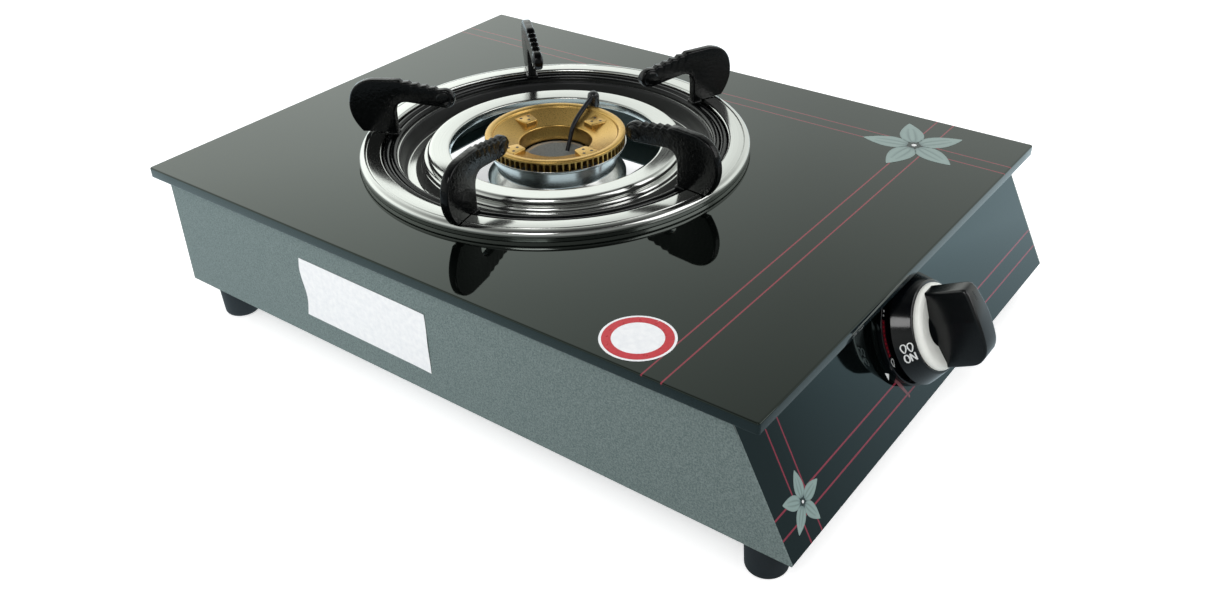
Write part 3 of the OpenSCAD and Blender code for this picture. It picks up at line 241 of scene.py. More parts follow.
# Moulded ABS: a clean gloss on the skirt, satin on the grip, and a soft milky ring
abs_black = grained("moulded_abs_black", "#030407", "#06080b", 0.7, (0.1, 0.16), 0.002)
abs_satin = grained("moulded_abs_black_satin", "#030406", "#06080a", 0.6, (0.18, 0.26), 0.003)
abs_cream = grained("moulded_abs_cream", "#eceee8", "#f4f6f0", 6.0, (0.3, 0.4), 0.004)
# Rubber, filled with carbon and matte, or a dull red silicone sleeve
rubber = grained("moulded_rubber_blue_black", "#10171c", "#182127", 1.2, (0.6, 0.75), 0.03)
silicone = grained("silicone_rubber_sleeve", "#7d2b22", "#93372c", 3.0, (0.45, 0.6), 0.01)
# Ceramic under a dark glaze, and a wire burnt nearly black; the same near-black finish is also laid on the
# cap pads' port discs as painted shade
ceramic = grained("glazed_ceramic_dark", "#17181a", "#242527", 1.0, (0.2, 0.32), 0.03)
dark_wire_and_port_shade = grained("oxidised_wire_and_port_shade", "#14161a", "#2a2d33", 0.8, (0.3, 0.5), 0.02, Metallic=0.6)
# Screen inks, flat with a slight gloss, and smooth coated paper
ink_red = grained("screen_ink_red", "#b3202c", "#c42c38", 2.0, (0.25, 0.35))
ink_pink = grained("screen_ink_faded_red", "#6f4248", "#7d4e53", 2.0, (0.2, 0.3))
ink_maroon = grained("screen_ink_dark_red", "#4a0f1a", "#5a1622", 2.0, (0.3, 0.4))
ink_white = grained("screen_ink_white", "#dfe3e3", "#eff1f0", 2.0, (0.25, 0.35))
ink_black = grained("screen_ink_black", "#050607", "#090b0c", 2.0, (0.4, 0.5))
ink_dark = grained("screen_ink_dark", "#22302f", "#2c3a39", 2.0, (0.2, 0.3))
paper = grained("coated_paper", "#e8ebee", "#f4f6f7", 3.0, (0.5, 0.65), 0.01)
# Flower print: pale grey-green petals, darker where the mesh marks a vein
petal_ink, tree, shader, place = surface("screen_ink_silver", Roughness=0.22)
vein = add(tree, "ShaderNodeAttribute", attribute_name="vein")
petal = add(tree, "ShaderNodeMix", {6: tint("#889d99"), 7: tint("#4a5c5f")}, {0: vein.outputs["Fac"]},
            data_type="RGBA")
tree.links.new(petal.outputs[2], shader.inputs["Base Color"])


# Making pieces

def grid_quads(nu, nv, wrap_u, wrap_v):
    """Quads of a grid of nu by nv points, closed in u or v if asked."""
    u = np.arange(nu if wrap_u else nu - 1)[:, None]
    v = np.arange(nv if wrap_v else nv - 1)[None, :]
    u1, v1 = (u + 1) % nu, (v + 1) % nv
    return np.stack([u * nv + v, u1 * nv + v, u1 * nv + v1, u * nv + v1], -1).reshape(-1, 4)


def piece(name, points, faces, material, body, replaces=(), slot=None, sharp=35, attribute=None):
    """Puts points (mm) and faces into a mesh with outward normals, and seats the piece on its body."""
    mesh = bpy.data.meshes.new(name)
    mesh.from_pydata((np.asarray(points, float) * M).tolist(), [], [list(map(int, f)) for f in faces])
    if attribute:
        values = mesh.attributes.new(attribute[0], "FLOAT", "POINT")
        values.data.foreach_set("value", np.asarray(attribute[1], np.float32))
    work = bmesh.new()
    work.from_mesh(mesh)
    bmesh.ops.remove_doubles(work, verts=work.verts, dist=1e-7)
    bmesh.ops.recalc_face_normals(work, faces=work.faces)
    work.to_mesh(mesh)
    work.free()
    mesh.polygons.foreach_set("use_smooth", np.ones(len(mesh.polygons), bool))
    mesh.set_sharp_from_angle(angle=math.radians(sharp))
    made = bpy.data.objects.new(name, mesh)
    bpy.context.scene.collection.objects.link(made)
    mesh.materials.append(material)
    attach(made, body)
    if replaces:
        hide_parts(*replaces)
    return made


def bend(p, q, s, n):
    """n points of the quadratic curve from p by q to s, without p."""
    t = np.linspace(0, 1, n + 1)[1:, None]
    return (1 - t) ** 2 * np.array(p) + 2 * t * (1 - t) * np.array(q) + t ** 2 * np.array(s)


def softened(points, cut, steps=5):
    """A closed outline with each corner turned to a quadratic curve that starts cut mm from it."""
    p = np.asarray(points, float)
    back_way, on_way = np.roll(p, 1, 0) - p, np.roll(p, -1, 0) - p
    l0 = np.linalg.norm(back_way, axis=1, keepdims=True)
    l1 = np.linalg.norm(on_way, axis=1, keepdims=True)
    c = np.minimum(cut, 0.45 * np.minimum(l0, l1))
    first, last = p + back_way / l0 * c, p + on_way / l1 * c
    t = np.linspace(0, 1, steps)[None, :, None]
    curves = (1 - t) ** 2 * first[:, None] + 2 * t * (1 - t) * p[:, None] + t ** 2 * last[:, None]
    return curves.reshape(-1, 2)


def moved(points, t):
    """An open path moved t mm to the right of its travel, corners mitred."""
    p = np.asarray(points, float)
    d = np.diff(p, axis=0)
    n = np.stack([d[:, 1], -d[:, 0]], 1) / np.linalg.norm(d, axis=1, keepdims=True)
    n0, n1 = np.vstack([n[:1], n]), np.vstack([n, n[-1:]])
    return p + t * (n0 + n1) / (1 + np.sum(n0 * n1, 1, keepdims=True))


def sheet(points, t):
    """Closed section of a sheet t mm thick that lies under a path."""
    return np.vstack([points, moved(points, -t)[::-1]])


def turned(section, centre=BURNER, count=192):
    """A closed section (radius, height) carried round the vertical axis through centre."""
    turn_by = np.linspace(0, 2 * math.pi, count, endpoint=False)[:, None]
    r, h = section[:, 0][None, :], section[:, 1][None, :]
    points = np.stack([r * np.cos(turn_by), r * np.sin(turn_by), h + 0 * turn_by], -1).reshape(-1, 3)
    return points + centre, grid_quads(count, len(section), True, True)


def on_knob(points):
    """Points given as right, up the slope and out of the panel from the knob's foot, in the shared frame."""
    return KNOB + np.asarray(points, float) @ KNOB_AXES


def plate(outline, half, rounding, steps=5):
    """A flat plate with rounded rims: the outline drawn in by r(1 - sin a) at heights half - r(1 - cos a)."""
    p = np.asarray(outline, float)
    d0, d1 = p - np.roll(p, 1, 0), np.roll(p, -1, 0) - p
    n0 = np.stack([-d0[:, 1], d0[:, 0]], 1) / np.linalg.norm(d0, axis=1, keepdims=True)
    n1 = np.stack([-d1[:, 1], d1[:, 0]], 1) / np.linalg.norm(d1, axis=1, keepdims=True)
    inward = (n0 + n1) / np.maximum(1 + np.sum(n0 * n1, 1, keepdims=True), 0.5)
    area = 0.5 * np.sum(p[:, 0] * np.roll(p[:, 1], -1) - np.roll(p[:, 0], -1) * p[:, 1])
    inward *= np.sign(area)
    turn_by = np.linspace(0, math.pi / 2, steps)
    draw = np.concatenate([rounding * (1 - np.sin(turn_by)), rounding * (1 - np.sin(turn_by[::-1]))])
    rise = rounding * (1 - np.cos(turn_by))
    height = np.concatenate([-half + rise, (half - rise)[::-1]])
    levels = p[None] + draw[:, None, None] * inward[None]
    points = np.concatenate([levels, np.broadcast_to(height[:, None, None], levels.shape[:2] + (1,))], -1)
    n, k = len(p), len(height)
    faces = grid_quads(k, n, False, True).tolist() + [list(range(n))[::-1], list(range((k - 1) * n, k * n))]
    return points.reshape(-1, 3), faces


def tube(path, radius, sides=14, toward=(0.2, 0.9, -0.4)):
    """A closed tube: circles square to a path that never runs the way of toward, with flat ends."""
    p = np.asarray(path, float)
    d = np.gradient(p, axis=0)
    d /= np.linalg.norm(d, axis=1, keepdims=True)
    u = np.cross(d, toward)
    u /= np.linalg.norm(u, axis=1, keepdims=True)
    v = np.cross(d, u)
    t = np.linspace(0, 2 * math.pi, sides, endpoint=False)
    r = np.broadcast_to(radius, len(p))[:, None, None]
    rings = p[:, None] + r * (np.cos(t)[None, :, None] * u[:, None] + np.sin(t)[None, :, None] * v[:, None])
    n = len(p)
    faces = grid_quads(n, sides, False, True).tolist()
    faces += [list(range(sides)), list(range((n - 1) * sides, n * sides))]
    return rings.reshape(-1, 3), faces


def ribbon(path, width):
    """A flat band of the given width along a path in a plane; returns plane points and quads."""
    p = np.asarray(path, float)
    d = np.gradient(p, axis=0)
    n = np.stack([-d[:, 1], d[:, 0]], 1) / np.linalg.norm(d, axis=1, keepdims=True)
    w = np.broadcast_to(width, len(p))[:, None] / 2
    return np.stack([p - w * n, p + w * n], 1).reshape(-1, 2), grid_quads(len(p), 2, False, False)


def patch(reach, count=32):
    """A flat round patch as one face."""
    t = np.linspace(0, 2 * math.pi, count, endpoint=False)
    return np.stack([reach * np.cos(t), reach * np.sin(t)], 1), [list(range(count))]


def joined(parts):
    """Several (points, faces) pairs as one."""
    starts = np.cumsum([0] + [len(p) for p, f in parts])
    faces = [[int(i) + int(s) for i in face] for (p, f), s in zip(parts, starts) for face in f]
    return np.vstack([p for p, f in parts]), faces


def dress(material, *names):
    """Gives CAD nodes a material."""
    for name in names:
        nodes[name].data.materials.clear()
        nodes[name].data.materials.append(material)


# Glass: the hole's circle joined to the round-cornered edge, with polished rims
GLASS_HOLE_R, HOLE_BEVEL, HOLE_BAND = 101, 0.8, 1.4
CORNER_R, EDGE_ROUND, FLAT_BAND = 1.5, 0.7, 0.4
half_w, half_d = glass_high[0], (glass_high[1] - glass_low[1]) / 2


def glass_edge(inset):
    """Round-cornered outline of the glass, drawn in by inset: four quarter circles and straights between."""
    r = max(CORNER_R - inset, 0.05)
    w, d = half_w - inset - r, half_d - inset - r
    arcs = []
    for k, (sx, sy) in enumerate([(1, 1), (-1, 1), (-1, -1), (1, -1)]):
        quarter = np.linspace(0, math.pi / 2, 9) + k * math.pi / 2
        arcs.append(np.stack([sx * w + r * np.cos(quarter), sy * d + r * np.sin(quarter)], 1))
    along = np.linspace(0, 1, 25)[1:-1, None]
    sides = [np.vstack([arcs[k], arcs[k][-1] * (1 - along) + arcs[(k + 1) % 4][0] * along]) for k in range(4)]
    return np.concatenate(sides) + [0, GLASS_Y]


outline = glass_edge(0)
away = outline - BURNER[:2]
away /= np.linalg.norm(away, axis=1, keepdims=True)
under = glass_low[2]
bow = np.linspace(0, math.pi / 2, 7)
rim_in = EDGE_ROUND * (1 - np.sin(bow))
rim_top = np.stack([rim_in, TOP - EDGE_ROUND * (1 - np.cos(bow))], 1)
rim_low = np.stack([rim_in, under + EDGE_ROUND * (1 - np.cos(bow))], 1)[::-1]
band_in = EDGE_ROUND + FLAT_BAND
rim = np.vstack([[[band_in, TOP]], rim_top, rim_low, [[band_in, under]]])
rings = [np.column_stack([glass_edge(inset), np.full(len(outline), h)]) for inset, h in rim]
for grow, h in [(HOLE_BAND, under), (HOLE_BEVEL, under), (0, under + HOLE_BEVEL),
                (0, TOP - HOLE_BEVEL), (HOLE_BEVEL, TOP), (HOLE_BAND, TOP)]:
    rings.append(np.column_stack([BURNER[:2] + (GLASS_HOLE_R + grow) * away, np.full(len(outline), h)]))
piece("glass_plate", np.concatenate(rings), grid_quads(len(rings), len(outline), True, True), glass, "stove",
      ["glass_top"], "glass", 50)

# Body panels and inner works keep their CAD shapes
dress(hammertone, "left_side_panel", "right_side_panel", "rear_panel")
dress(front_lacquer, "front_panel")
dress(rubber, "glass_gasket")
dress(zinc, "foot_screws", "foot_nuts", "burner_bridge", "bridge_screws", "burner_screws", "air_shutter",
      "valve_screws", "thrust_washer", "gas_pipe", "lead_clip", "electrode_bracket")
dress(cast_alloy, "burner_base", "mixing_tube", "valve_body")
dress(brass_bright, "gas_injector", "valve_stem", "hose_nipple", "nipple_nut")
dress(abs_satin, "piezo_igniter")
dress(silicone, "ignition_lead")

# Feet: slightly tapered, with a soft lower edge and the screw's recess
FOOT_H, FOOT_TOP_R, FOOT_LOW_R, FOOT_ROUND = 19, 10.8, 10, 2.5
SCREW_HOLE_R, RECESS_R, RECESS_H = 2.1, 4.2, 9.5
foot_flat = [FOOT_LOW_R - FOOT_ROUND, 0]
foot_path = np.vstack([[[SCREW_HOLE_R, RECESS_H], [RECESS_R, RECESS_H], [RECESS_R, 0], foot_flat],
                       bend(foot_flat, [FOOT_LOW_R, 0], [FOOT_LOW_R, FOOT_ROUND], 6),
                       [[FOOT_TOP_R, FOOT_H], [SCREW_HOLE_R, FOOT_H]]])
for name in ("foot_front_left", "foot_front_right", "foot_rear_left", "foot_rear_right"):
    low, high = box_mm(name)
    middle = [(low[0] + high[0]) / 2, (low[1] + high[1]) / 2, 0]
    piece(name + "_moulding", *turned(softened(foot_path, 0.3, 4), middle, 64), rubber, "stove", [name],
          "rubber")

# Drip tray: outer wall, round shoulder, groove, flat band, seat, trough and shelf
TRAY_R, TRAY_H, SEAT_R, SEAT_H, TRAY_SHEET = 110.5, 6.2, 98, 2, 0.9
TROUGH_R, TROUGH_D, TROUGH_IN, SHELF_IN_R = 88, 8, 78.5, 63
WALL_IN, WALL_STEP_H, GROOVE_D = 0.7, 2.2, 0.5
tray_wall = [[TRAY_R - WALL_IN, 0], [TRAY_R - WALL_IN, WALL_STEP_H], [TRAY_R, 2.7], [TRAY_R, 3.0]]
shoulder = bend(tray_wall[-1], [TRAY_R, TRAY_H - 0.2], [TRAY_R - 3.6, TRAY_H], 8)
tray_band = [[TRAY_R - 3.9, TRAY_H - GROOVE_D], [TRAY_R - 4.3, TRAY_H], [SEAT_R + 0.8, TRAY_H],
             [SEAT_R, TRAY_H - 0.8], [SEAT_R, SEAT_H]]
trough = [[TROUGH_R + 0.8, SEAT_H], [TROUGH_R - 0.2, SEAT_H - 1], [TROUGH_R - 1.6, 1.6 - TROUGH_D],
          [TROUGH_R - 3.2, -TROUGH_D], [TROUGH_IN + 1.4, -TROUGH_D], [TROUGH_IN - 0.4, 1.6 - TROUGH_D]]
shelf = [[TROUGH_IN - 2.2, -2.6], [TROUGH_IN - 2.6, -2.3], [TROUGH_IN - 3.2, -0.8], [TROUGH_IN - 4, 0],
         [SHELF_IN_R, 0]]
tray_path = np.vstack([tray_wall, shoulder, tray_band, trough, shelf])
piece("tray_pressing", *turned(softened(sheet(tray_path, TRAY_SHEET), 0.7)), stainless, "tray",
      ["drip_tray"], "stainless", 60)
# Trim ring: a shallow channel upside down
TRIM_R, TRIM_IN_R, TRIM_H, TRIM_SHEET = 73, 60, 3.8, 0.8
trim_path = [[TRIM_R, 0], [TRIM_R, 0.8], [TRIM_R - 0.4, 2.4], [TRIM_R - 1.3, TRIM_H - 0.3],
             [TRIM_R - 2.4, TRIM_H], [TRIM_IN_R + 1.2, TRIM_H - 0.5], [TRIM_IN_R + 0.3, TRIM_H - 0.9],
             [TRIM_IN_R, -1.2]]
piece("trim_pressing", *turned(softened(sheet(trim_path, TRIM_SHEET), 0.6)), stainless, "tray",
      ["trim_ring"], "stainless", 60)

# Pan support ring: two round beads side by side, each half an ellipse over a flat foot
SUPPORT_IN, SUPPORT_OUT, BEAD_FOOT_H = 89.5, 97.6, 2.7
half_turn = np.linspace(0, math.pi, 15)
beads = [np.stack([middle + reach * np.cos(half_turn), BEAD_FOOT_H + rise * np.sin(half_turn)], 1)
         for middle, reach, rise in ((95.5, 2.1, 2.2), (91.45, 1.95, 1.9))]
support_path = np.vstack([[[SUPPORT_IN, SEAT_H], [SUPPORT_OUT, SEAT_H]], *beads])
piece("support_ring_pressing", *turned(support_path), enamel_smooth, "pan_support", ["support_ring"],
      "enamel")

# Prongs: an outer path (radius, height) of heel, back, pan edge and teeth, and an inner one of foot and arch
PAN_H, PRONG_OUT, PRONG_TIP, PRONG_HALF = 38, 118, 56, 2.5
FOOT_IN, FOOT_OUT, SUPPORT_TOP, BAND_H = 91.3, 97, 4.6, 6.6
TEETH, TOOTH_D, DROP, NOSE, NOSE_HALF, ARCH_H = 5, 1.1, 5, 6, 5.6, 25.2
teeth_r1, teeth_r0, tip_h = PRONG_OUT - 31, PRONG_TIP + NOSE, PAN_H - DROP - NOSE_HALF
tooth, fall = (teeth_r1 - teeth_r0) / TEETH, DROP / TEETH
k = np.arange(TEETH)[:, None]
notch = np.concatenate([np.hstack([teeth_r1 - (k + 0.3) * tooth, PAN_H - (k + 0.3) * fall - TOOTH_D]),
                        np.hstack([teeth_r1 - (k + 1) * tooth, PAN_H - (k + 1) * fall])], 1).reshape(-1, 2)
waist, brow = [PRONG_OUT - 0.2, PAN_H * 0.645], [PRONG_OUT - 14.5, PAN_H]
nose_turn = np.radians(np.linspace(0, 86, 12)[1:])
nose_over = np.stack([teeth_r0 - NOSE * np.sin(nose_turn), tip_h + NOSE_HALF * np.cos(nose_turn)], 1)
nose_under = nose_over * [1, -1] + [0, 2 * tip_h]


def steps_along(points, counts):
    """Points spaced evenly along each leg of a polyline, without its first point."""
    legs = zip(points[:-1], points[1:], counts)
    return np.vstack([np.linspace(p, q, n + 1)[1:] for p, q, n in legs])


heel = [PRONG_OUT - 6, BAND_H]
outer = np.vstack([
    [[FOOT_OUT, SUPPORT_TOP]],
    steps_along([[FOOT_OUT, SUPPORT_TOP], [FOOT_OUT, BAND_H], heel], [2, 6]),
    bend(heel, [PRONG_OUT + 1.3, PAN_H * 0.4], waist, 12),
    bend(waist, [PRONG_OUT - 1.8, PAN_H - 1.5], brow, 10),
    steps_along(np.vstack([[brow, [teeth_r1, PAN_H]], notch]), [4] + [3, 5] * TEETH),
    nose_over])
springing = [FOOT_IN, ARCH_H - 8]
arch = bend(springing, [FOOT_IN - 0.3, ARCH_H + 0.4], [FOOT_IN - 8, ARCH_H - 0.4], 14)
inner = np.vstack([
    [[FOOT_IN, SUPPORT_TOP]],
    steps_along([[FOOT_IN, SUPPORT_TOP], [FOOT_IN, 6], [FOOT_IN, 9], springing], [2, 6, 12]),
    arch,
    steps_along([arch[-1], [teeth_r0, tip_h - NOSE_HALF]], [8 * TEETH]),
    nose_under])


def limb(edge, other, half, rounding, steps=5):
    """A bar between two matched paths: at each pair a rounded rectangle stands across the plane from one path
    to the other, its corners quarter circles of radius min(rounding, 0.45 of the distance)."""
    a, b = np.asarray(edge, float), np.asarray(other, float)
    length = np.linalg.norm(b - a, axis=1)[:, None]
    r = np.minimum(rounding, 0.45 * length)
    q = np.linspace(0, math.pi / 2, steps)[None, :]
    near, rise = r * (1 - np.sin(q)), half - r * (1 - np.cos(q))
    s = np.hstack([near, near[:, ::-1], length - near, length - near[:, ::-1]])
    h = np.hstack([rise, -rise[:, ::-1], -rise, rise[:, ::-1]])
    flat = a[:, None] + s[:, :, None] * ((b - a) / length)[:, None]
    n, k = s.shape
    faces = grid_quads(n, k, False, True).tolist() + [list(range(k)), list(range((n - 1) * k, n * k))]
    return np.concatenate([flat, h[:, :, None]], -1).reshape(-1, 3), faces


def set_at(points, turn_by):
    """Points as radius, height and sideways, stood round the burner at an angle in degrees."""
    p = np.asarray(points, float)
    c, s = math.cos(math.radians(turn_by)), math.sin(math.radians(turn_by))
    return BURNER + np.stack([p[:, 0] * c - p[:, 2] * s, p[:, 0] * s + p[:, 2] * c, p[:, 1]], 1)


def dome(middle, r_long, r_high, rise, side):
    """An oval boss on a prong's side: height falls as the square root of 1 - q squared."""
    t = np.linspace(0, 2 * math.pi, 28, endpoint=False)[None, :]
    q = np.linspace(0.02, 1, 8)[:, None]
    h = rise * np.sqrt(np.maximum(1 - q ** 2, 0))
    pts = np.stack([middle[0] + r_long * q * np.cos(t), middle[1] + r_high * q * np.sin(t),
                    side * (PRONG_HALF - 0.3 + h) + 0 * t], -1).reshape(-1, 3)
    return pts, grid_quads(8, 28, False, True).tolist() + [list(range(28))]


PRONGS, FIRST_PRONG_DEG, PRONG_ROUND = 5, 120, 1.3
SOLE_IN, SOLE_OUT, SOLE_HALF_W, SOLE_HALF_T, SOLE_MID_H = 90.6, 97.2, 3.6, 1.2, 5.2
bosses = [dome((PRONG_TIP + 6.2, tip_h), 4.8, 4.4, 1.2, side) for side in (-1, 1)]
sole = softened([[SOLE_IN, -SOLE_HALF_W], [SOLE_OUT, -SOLE_HALF_W], [SOLE_OUT, SOLE_HALF_W],
                 [SOLE_IN, SOLE_HALF_W]], 1.6)
sole_points, sole_faces = plate(sole, SOLE_HALF_T, 0.8)
sole_points = np.stack([sole_points[:, 0], sole_points[:, 2] + SOLE_MID_H, sole_points[:, 1]], 1)
points, faces = joined([limb(outer, inner, PRONG_HALF, PRONG_ROUND)] + bosses + [(sole_points, sole_faces)])
for i in range(PRONGS):
    stood = set_at(points, FIRST_PRONG_DEG - 360 / PRONGS * i)
    piece(f"prong_casting_{i + 1}", stood, faces, enamel, "pan_support", [f"prong_{i + 1}"], "enamel", 45)

# Burner cup: rolled rim, wall drawn in to a creased waist, flared bell
CAP_R, CUP_R, CUP_RIM, SEAT_D, WAIST_R, CUP_SHEET = 40, 40.4, 3.2, 17, 34.2, 1.4
cup_path = [[CAP_R, -SEAT_D], [CAP_R, 1 - SEAT_D], [38.2, 3 - SEAT_D], [35.6, 5.4 - SEAT_D],
            [WAIST_R, -10.4], [WAIST_R, -9.8], [WAIST_R + 1, -7.2], [CUP_R - 2, CUP_RIM - 2.4],
            [CUP_R - 1, CUP_RIM - 1.7], [CUP_R, CUP_RIM - 1.2], [CUP_R, CUP_RIM]]
piece("cup_spinning", *turned(softened(sheet(cup_path, CUP_SHEET), 0.4)), aluminium, "stove",
      ["burner_cup"], "bright_alloy", 60)

# Burner cap: round rim, dish and sleeve in one turned section, tapered teeth between the ports, four pads
CAP_H, HOLE_R, DISH_D, PORTS, PORT_TOP, PORT_W = 9.2, 20.5, 6, 72, 7.4, 2.5
CAP_WALL, SLEEVE_D = 1.8, 6
in_r, dish_h, hole_h = CAP_R - 3.4, CAP_H - 0.8, CAP_H - DISH_D
cap_crest = bend([CAP_R, CAP_H - 1.2], [CAP_R, CAP_H], [CAP_R - 1.8, CAP_H], 6)
brim = bend(cap_crest[-1], [in_r - 0.6, CAP_H], [in_r - 1.0, CAP_H - 1.0], 6)
below = [[HOLE_R, -SLEEVE_D], [HOLE_R + CAP_WALL, -SLEEVE_D], [HOLE_R + CAP_WALL, hole_h - CAP_WALL],
         [in_r - CAP_WALL, PORT_TOP - 1.4], [in_r - 1.2, PORT_TOP], [CAP_R, PORT_TOP], [CAP_R, CAP_H - 1.2]]
dish = [[in_r - 1.2, dish_h - 0.9], [HOLE_R + 0.5, hole_h], [HOLE_R, hole_h - 0.5]]
parts = [turned(softened(np.vstack([below, cap_crest, brim, dish]), 0.3, 4))]
span = np.linspace(0, 2 * math.pi, PORTS, endpoint=False)
tooth_half = math.pi / PORTS - PORT_W / CAP_R / 2
corner = np.array([[r, s * tooth_half * share, h] for r in (in_r - 0.9, CAP_R - 0.25) for s in (-1, 1)
                   for share, h in ((0.55, CUP_RIM), (1.15, PORT_TOP))])
teeth = np.stack([corner[None, :, 0] * np.cos(span[:, None] + corner[None, :, 1]),
                  corner[None, :, 0] * np.sin(span[:, None] + corner[None, :, 1]),
                  np.broadcast_to(corner[None, :, 2], (PORTS, 8))], -1).reshape(-1, 3) + BURNER
box_quads = np.array([[0, 1, 3, 2], [4, 6, 7, 5], [0, 4, 5, 1], [2, 3, 7, 6], [0, 2, 6, 4], [1, 5, 7, 3]])
parts.append((teeth, (np.arange(PORTS)[:, None, None] * 8 + box_quads[None]).reshape(-1, 4)))
PAD_HALF_T, PAD_PORT_R, FIRST_PAD_DEG = 3, 0.9, -15
PAD_H = hole_h + 0.75 * (dish_h - hole_h)
pad_line = softened([[HOLE_R + 2.5, -4], [in_r - 3, -6], [in_r - 3, 6], [HOLE_R + 2.5, 4]], 1.2)
pad, pad_faces = plate(pad_line, PAD_HALF_T, 0.7)
pad = np.stack([pad[:, 0], pad[:, 2] + PAD_H - PAD_HALF_T, pad[:, 1]], 1)
hole, hole_face = patch(PAD_PORT_R, 16)
# The pads' ports are flat near-black discs just over the pad tops: painted shade standing in for the holes'
# dark insides, not cut holes
port_shades = []
for i in range(4):
    parts.append((set_at(pad, FIRST_PAD_DEG + 90 * i), pad_faces))
    for x, y in ((30.4, -2.6), (30.4, 2.6), (26.2, 0)):
        disc = np.stack([x + hole[:, 0], np.full(len(hole), PAD_H + 0.03), y + hole[:, 1]], 1)
        port_shades.append((set_at(disc, FIRST_PAD_DEG + 90 * i), hole_face))
piece("cap_turning", *joined(parts), brass, "stove", ["burner_cap"], "brass", 40)
piece("pad_port_shades", *joined(port_shades), dark_wire_and_port_shade, "stove")

# Electrode: ceramic post with a round head, and the spark wire bent over the rim into the cap's hole
ELECTRODE_DEG, ELECTRODE_AT, AXIS_R = 8, 44.4, 0.01
POST_R, COLLAR_R, HEAD_R, POST_LOW, COLLAR_LOW, HEAD_TOP = 3, 3.9, 3.5, -28, -20, 16
post = [[AXIS_R, POST_LOW], [POST_R, POST_LOW], [POST_R, COLLAR_LOW], [COLLAR_R, COLLAR_LOW],
        [COLLAR_R, COLLAR_LOW + 1.2], [POST_R, COLLAR_LOW + 2.1], [POST_R, 7.5], [HEAD_R, 8.5],
        [HEAD_R, 12.5]]
post = np.vstack([post, bend(post[-1], [HEAD_R, HEAD_TOP], [AXIS_R, HEAD_TOP], 10)])
electrode_foot = set_at([[ELECTRODE_AT, 0, 0]], ELECTRODE_DEG)[0]
piece("electrode_post", *turned(post, electrode_foot, 40), ceramic, "stove", ["electrode_insulator"],
      "ceramic")
WIRE_R, WIRE_TIP_R = 1.5, 1.2
wire_from, wire_over, wire_in, wire_tip = [43.4, 13.0], [38.5, 11.6], [18.2, 1.8], [12, -8.8]
wire = np.vstack([[wire_from, wire_over], bend(wire_over, [20.6, 6.4], wire_in, 14),
                  bend(wire_in, [16, -2.5], wire_tip, 10)])
points, faces = tube(np.column_stack([wire, np.zeros(len(wire))]), np.linspace(WIRE_R, WIRE_TIP_R, len(wire)))
piece("spark_wire", set_at(points, ELECTRODE_DEG), faces, dark_wire_and_port_shade, "stove", ["electrode_wire"],
      "spring_steel", 60)

# Knob: bezel, sloping skirt, dished pale ring and bar grip, turned or drawn out along the knob's axis
BEZEL_R, BEZEL_T, BEZEL_HOLE_R, BORE_R, HUB_R = 27.8, 3, 5.5, 3.05, 5.2
SKIRT_BASE_R, SKIRT_R, SKIRT_0, SKIRT_1, SKIRT_WALL = 27.6, 22.7, 7.2, 15.7, 1.8
RING_R, RING_IN_R, RING_EDGE, RING_CREST_R, RING_1, RING_DISH = 21.3, 9.9, 0.8, 17.6, 18.6, 1.2
GRIP_HALF_L, GRIP_HALF_W, GRIP_TIP_HALF_W, GRIP_TAPER_FROM, GRIP_RIM = 19.7, 6.8, 4.9, 3.9, 1.5


def knob_turned(section, count=128):
    """A closed section carried round the knob's axis."""
    points, faces = turned(np.asarray(section, float), np.zeros(3), count)
    return on_knob(points), faces


bezel = [[BEZEL_HOLE_R, 0], [BEZEL_R, 0], [BEZEL_R, BEZEL_T - 0.3], [BEZEL_R - 0.6, BEZEL_T],
         [BEZEL_HOLE_R, BEZEL_T]]
piece("bezel_moulding", *knob_turned(softened(bezel, 0.3)), abs_black, "stove", ["knob_bezel"],
      "black_plastic")
skirt_in = SKIRT_1 - SKIRT_WALL
skirt = [[BORE_R, SKIRT_0], [HUB_R, SKIRT_0], [HUB_R, skirt_in], [SKIRT_R - SKIRT_WALL, skirt_in],
         [SKIRT_BASE_R - SKIRT_WALL, SKIRT_0], [SKIRT_BASE_R, SKIRT_0], [SKIRT_R, SKIRT_1 - 0.3],
         [SKIRT_R - 0.5, SKIRT_1], [BORE_R, SKIRT_1]]
piece("skirt_moulding", *knob_turned(softened(skirt, 0.4)), abs_black, "knob", ["knob_skirt"],
      "black_plastic")
ring_lip = [RING_R, SKIRT_1 + RING_EDGE]
ring_path = np.vstack([[[RING_IN_R, SKIRT_1], [RING_R, SKIRT_1], ring_lip],
                       bend(ring_lip, [RING_R - 0.4, RING_1], [RING_CREST_R, RING_1], 8),
                       [[RING_IN_R, RING_1 - RING_DISH]]])
piece("ring_moulding", *knob_turned(softened(ring_path, 0.3)), abs_cream, "knob", ["knob_ring"],
      "cream_plastic")
# The grip's crown, as place along the bar and height: it climbs from the tail, crests and drops at the tip
GRIP_FOOT, GRIP_TIP = SKIRT_1 + 0.5, 19.3
tail, crest, fore = [-GRIP_HALF_L, 29.0], [-7.2, 41.0], [16.3, 39.85]
crown = np.vstack([[tail], bend(tail, [-GRIP_HALF_L, 40.2], crest, 16), bend(crest, [3.3, 42.0], fore, 12),
                   bend(fore, [GRIP_TIP, 39.1], [GRIP_TIP, 36.1], 8), [[GRIP_HALF_L, GRIP_FOOT]]])


